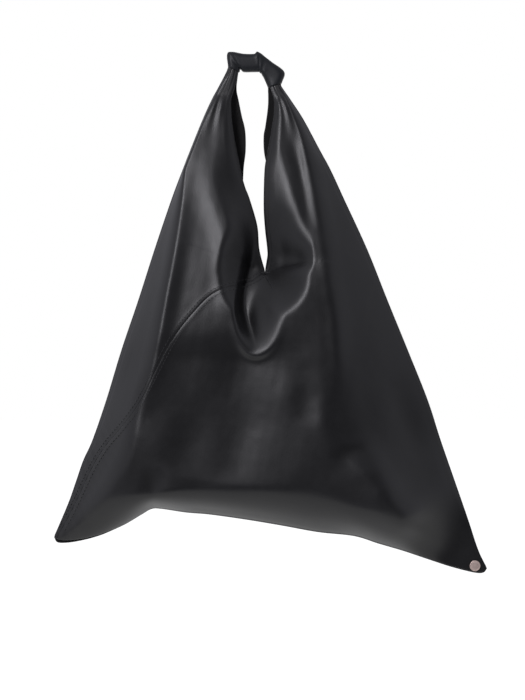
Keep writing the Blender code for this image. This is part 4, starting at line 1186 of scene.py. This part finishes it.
def metal_material(name):
    """Polished rose-tinted metal, a little cloudy, with faint scratches"""
    material, tree, shader, place = blank_material(name, Metallic=1.0)
    cloudy = noise(tree, place, 420.0, 4.0)
    colour = tinted(tree, cloudy, (0.66, 0.50, 0.45), (0.80, 0.66, 0.61))
    rough = scaled(tree, cloudy, 0.3, 0.7, 0.40, 0.52)
    scratches = noise(tree, place, 2600.0, 2.0)
    complete(tree, shader, scratches, 0.15, 0.0001, Base_Color=colour, Roughness=rough)
    return material


def make_floor():
    """A pale floor that shows white to the camera and keeps the bag's shadow"""
    middle = (0.0, FLOOR_SIZE / 2 - FLOOR_FRONT, -FLOOR_DROP)
    bpy.ops.mesh.primitive_plane_add(size=FLOOR_SIZE, location=middle)
    floor = bpy.context.object
    floor.name = "floor"
    material = bpy.data.materials.new("pale_floor")
    material.use_nodes = True
    tree = material.node_tree
    shader = tree.nodes["Principled BSDF"]
    shader.inputs["Base Color"].default_value = (0.80, 0.80, 0.80, 1.0)
    shader.inputs["Roughness"].default_value = 0.9
    rays = add_node(tree, "ShaderNodeLightPath")
    bright = scaled(tree, rays.outputs["Is Camera Ray"], 0.0, 1.0, FLOOR_MIRRORED, FLOOR_GLOW)
    glow = add_node(tree, "ShaderNodeEmission", {"Color": (1.0, 1.0, 1.0, 1.0), "Strength": bright})
    seen = maths(tree, "MAXIMUM", rays.outputs["Is Camera Ray"], rays.outputs["Is Glossy Ray"])
    share = maths(tree, "MULTIPLY", seen, FLOOR_GLOW_SHARE)
    mixed = add_node(tree, "ShaderNodeMixShader", {
        0: share, 1: shader.outputs["BSDF"], 2: glow.outputs["Emission"],
    })
    tree.links.new(mixed.outputs["Shader"], tree.nodes["Material Output"].inputs["Surface"])
    floor.data.materials.append(material)


def make_world():
    """White to the camera; a soft room to the bag, bright behind it and dim in front"""
    world = bpy.data.worlds.new("studio")
    bpy.context.scene.world = world
    world.use_nodes = True
    tree = world.node_tree
    tree.nodes.clear()
    direction = add_node(tree, "ShaderNodeTexCoord").outputs["Generated"]
    parts = add_node(tree, "ShaderNodeSeparateXYZ", {"Vector": direction})
    beside = scaled(tree, parts.outputs["Y"], -1.0, -0.45, ROOM_FRONT, ROOM_BESIDE)
    behind = scaled(tree, parts.outputs["Y"], 0.2, 1.0, 0.0, ROOM_BEHIND - ROOM_BESIDE)
    left = scaled(tree, parts.outputs["X"], 0.4, -0.2, 0.0, ROOM_LEFT)
    strength = maths(tree, "ADD", maths(tree, "ADD", beside, behind), left)
    room = add_node(tree, "ShaderNodeBackground", {"Color": (0.92, 0.92, 1.0, 1.0), "Strength": strength})
    white = add_node(tree, "ShaderNodeBackground", {"Color": (1.0, 1.0, 1.0, 1.0), "Strength": 1.0})
    rays = add_node(tree, "ShaderNodeLightPath")
    mixed = add_node(tree, "ShaderNodeMixShader", {
        0: rays.outputs["Is Camera Ray"], 1: room.outputs["Background"], 2: white.outputs["Background"],
    })
    output = add_node(tree, "ShaderNodeOutputWorld")
    tree.links.new(mixed.outputs["Shader"], output.inputs["Surface"])


def make_lamp():
    """A tall soft lamp in front of the bag, on its left"""
    light = bpy.data.lights.new("key", "AREA")
    light.shape = "RECTANGLE"
    light.size = KEY_SIZE[0]
    light.size_y = KEY_SIZE[1]
    light.energy = KEY_POWER
    light.color = (0.96, 0.95, 1.0)
    lamp = bpy.data.objects.new("key", light)
    lamp.location = KEY_PLACE
    lamp.rotation_euler = (Vector(AIM) - Vector(KEY_PLACE)).to_track_quat("-Z", "Y").to_euler()
    lamp.visible_camera = False
    bpy.context.scene.collection.objects.link(lamp)


def make_camera():
    """The photograph's view: level, square to the bag's front"""
    across = (PHOTO_PIXELS[0] / 2 - HANG_PIXELS[0]) * PIXEL
    up = -(PHOTO_PIXELS[1] / 2 - HANG_PIXELS[1]) * PIXEL
    lens = bpy.data.cameras.new("camera")
    lens.sensor_fit = "VERTICAL"
    lens.sensor_height = SENSOR_HEIGHT
    lens.lens = SENSOR_HEIGHT * CAMERA_DISTANCE / (PHOTO_PIXELS[1] * PIXEL)
    camera = bpy.data.objects.new("camera", lens)
    camera.location = (across, -CAMERA_DISTANCE, up)
    camera.rotation_euler = (math.pi / 2, 0.0, 0.0)
    bpy.context.scene.collection.objects.link(camera)
    bpy.context.scene.camera = camera


def make_stage():
    bpy.context.scene.view_settings.view_transform = "Standard"
    make_camera()
    make_world()
    make_floor()
    make_lamp()


def make_panels(skins):
    """The four panels of leather, from left to right in front and then behind"""
    left_edge = edge_rows(below(LEFT_EDGE, LEFT_TOP))
    right_edge = edge_rows(below(RIGHT_EDGE, RIGHT_TOP))
    panels = []
    for face, left_name, right_name in ((FRONT, "front_ear", "front_main"), (BACK, "back_main", "back_ear")):
        left_mouth, right_mouth = SIDES[face]["mouth"]
        seam = SIDES[face]["seam"]
        left = side_rows(below(left_mouth, LEFT_TOP), offset_line(seam, -SEAM_GAP / 2))
        right = side_rows(below(right_mouth, RIGHT_TOP), offset_line(seam, SEAM_GAP / 2))
        for name, start, end in ((left_name, left_edge, left), (right_name, right, right_edge)):
            is_main = name.endswith("main")
            grid = panel_grid(start, end, MAIN_COLUMNS if is_main else EAR_COLUMNS, is_main)
            panels.append(make_panel(name + "_leather", grid, face, skins, start is right))
    return panels


def make_bag():
    leather = leather_material("black_leather")
    inner = suede_material("leather_flesh_side")
    sleeve_leather = leather_material("black_sleeve_leather")
    gathered = leather_material("gathered_leather")
    thread = thread_material("black_waxed_thread")
    metal = metal_material("rose_metal")

    panels = make_panels([leather, inner])
    front_tree = skin_tree(panels[:2])
    back_tree = skin_tree(panels[2:])
    for panel in panels:
        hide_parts(panel.name.replace("leather", "panel"))
        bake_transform(panel)

    for name, line, distance, tree, face in (
        ("front_seam_stitches_upper", FRONT_SEAM, -STITCH_INSET, front_tree, FRONT),
        ("front_seam_stitches_lower", FRONT_SEAM, STITCH_INSET, front_tree, FRONT),
        ("back_seam_stitches_lower", BACK_SEAM, -STITCH_INSET, back_tree, BACK),
        ("back_seam_stitches_upper", BACK_SEAM, STITCH_INSET, back_tree, BACK),
    ):
        row = stitch_row(name, offset_line(line, distance)[3:-3], tree, face, thread)
        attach(row, "bag")
        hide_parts(name.replace("stitches", "thread"))

    for side, tree, face in (("front", front_tree, FRONT), ("back", back_tree, BACK)):
        tack = make_tack(side + "_bar_tack_stitches", tree, face, thread)
        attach(tack, "bag")
        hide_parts(side + "_bar_tack")

    sleeve = make_sleeve(sleeve_leather, inner)
    left_end, right_end = make_gathers(gathered)
    for piece, slot, node in (
        (sleeve, "sleeve_leather", "handle_sleeve"),
        (left_end, "gathered_leather", "left_ear_end"),
        (right_end, "gathered_leather", "right_ear_end"),
        (make_sleeve_stitches(thread), "thread", "sleeve_thread"),
    ):
        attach(piece, "handle")
        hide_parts(node)

    centre = from_shares(RIVET_SHARES)
    seat_height = GAP / 2 + LEATHER + GAP
    for name, radius, thickness, face in (
        ("rivet_cap", RIVET_RADIUS, RIVET_THICKNESS, FRONT),
        ("rivet_base", RIVET_BASE_RADIUS, RIVET_BASE_THICKNESS, BACK),
    ):
        button = turned(name + "_button", rivet_profile(radius, thickness, seat_height), centre, face, metal)
        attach(button, "bag")
        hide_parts(name)
    stem_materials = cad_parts["rivet_stem"].data.materials
    stem_materials.clear()
    stem_materials.append(metal)


make_stage()
make_bag()
bpy.context.view_layer.update()
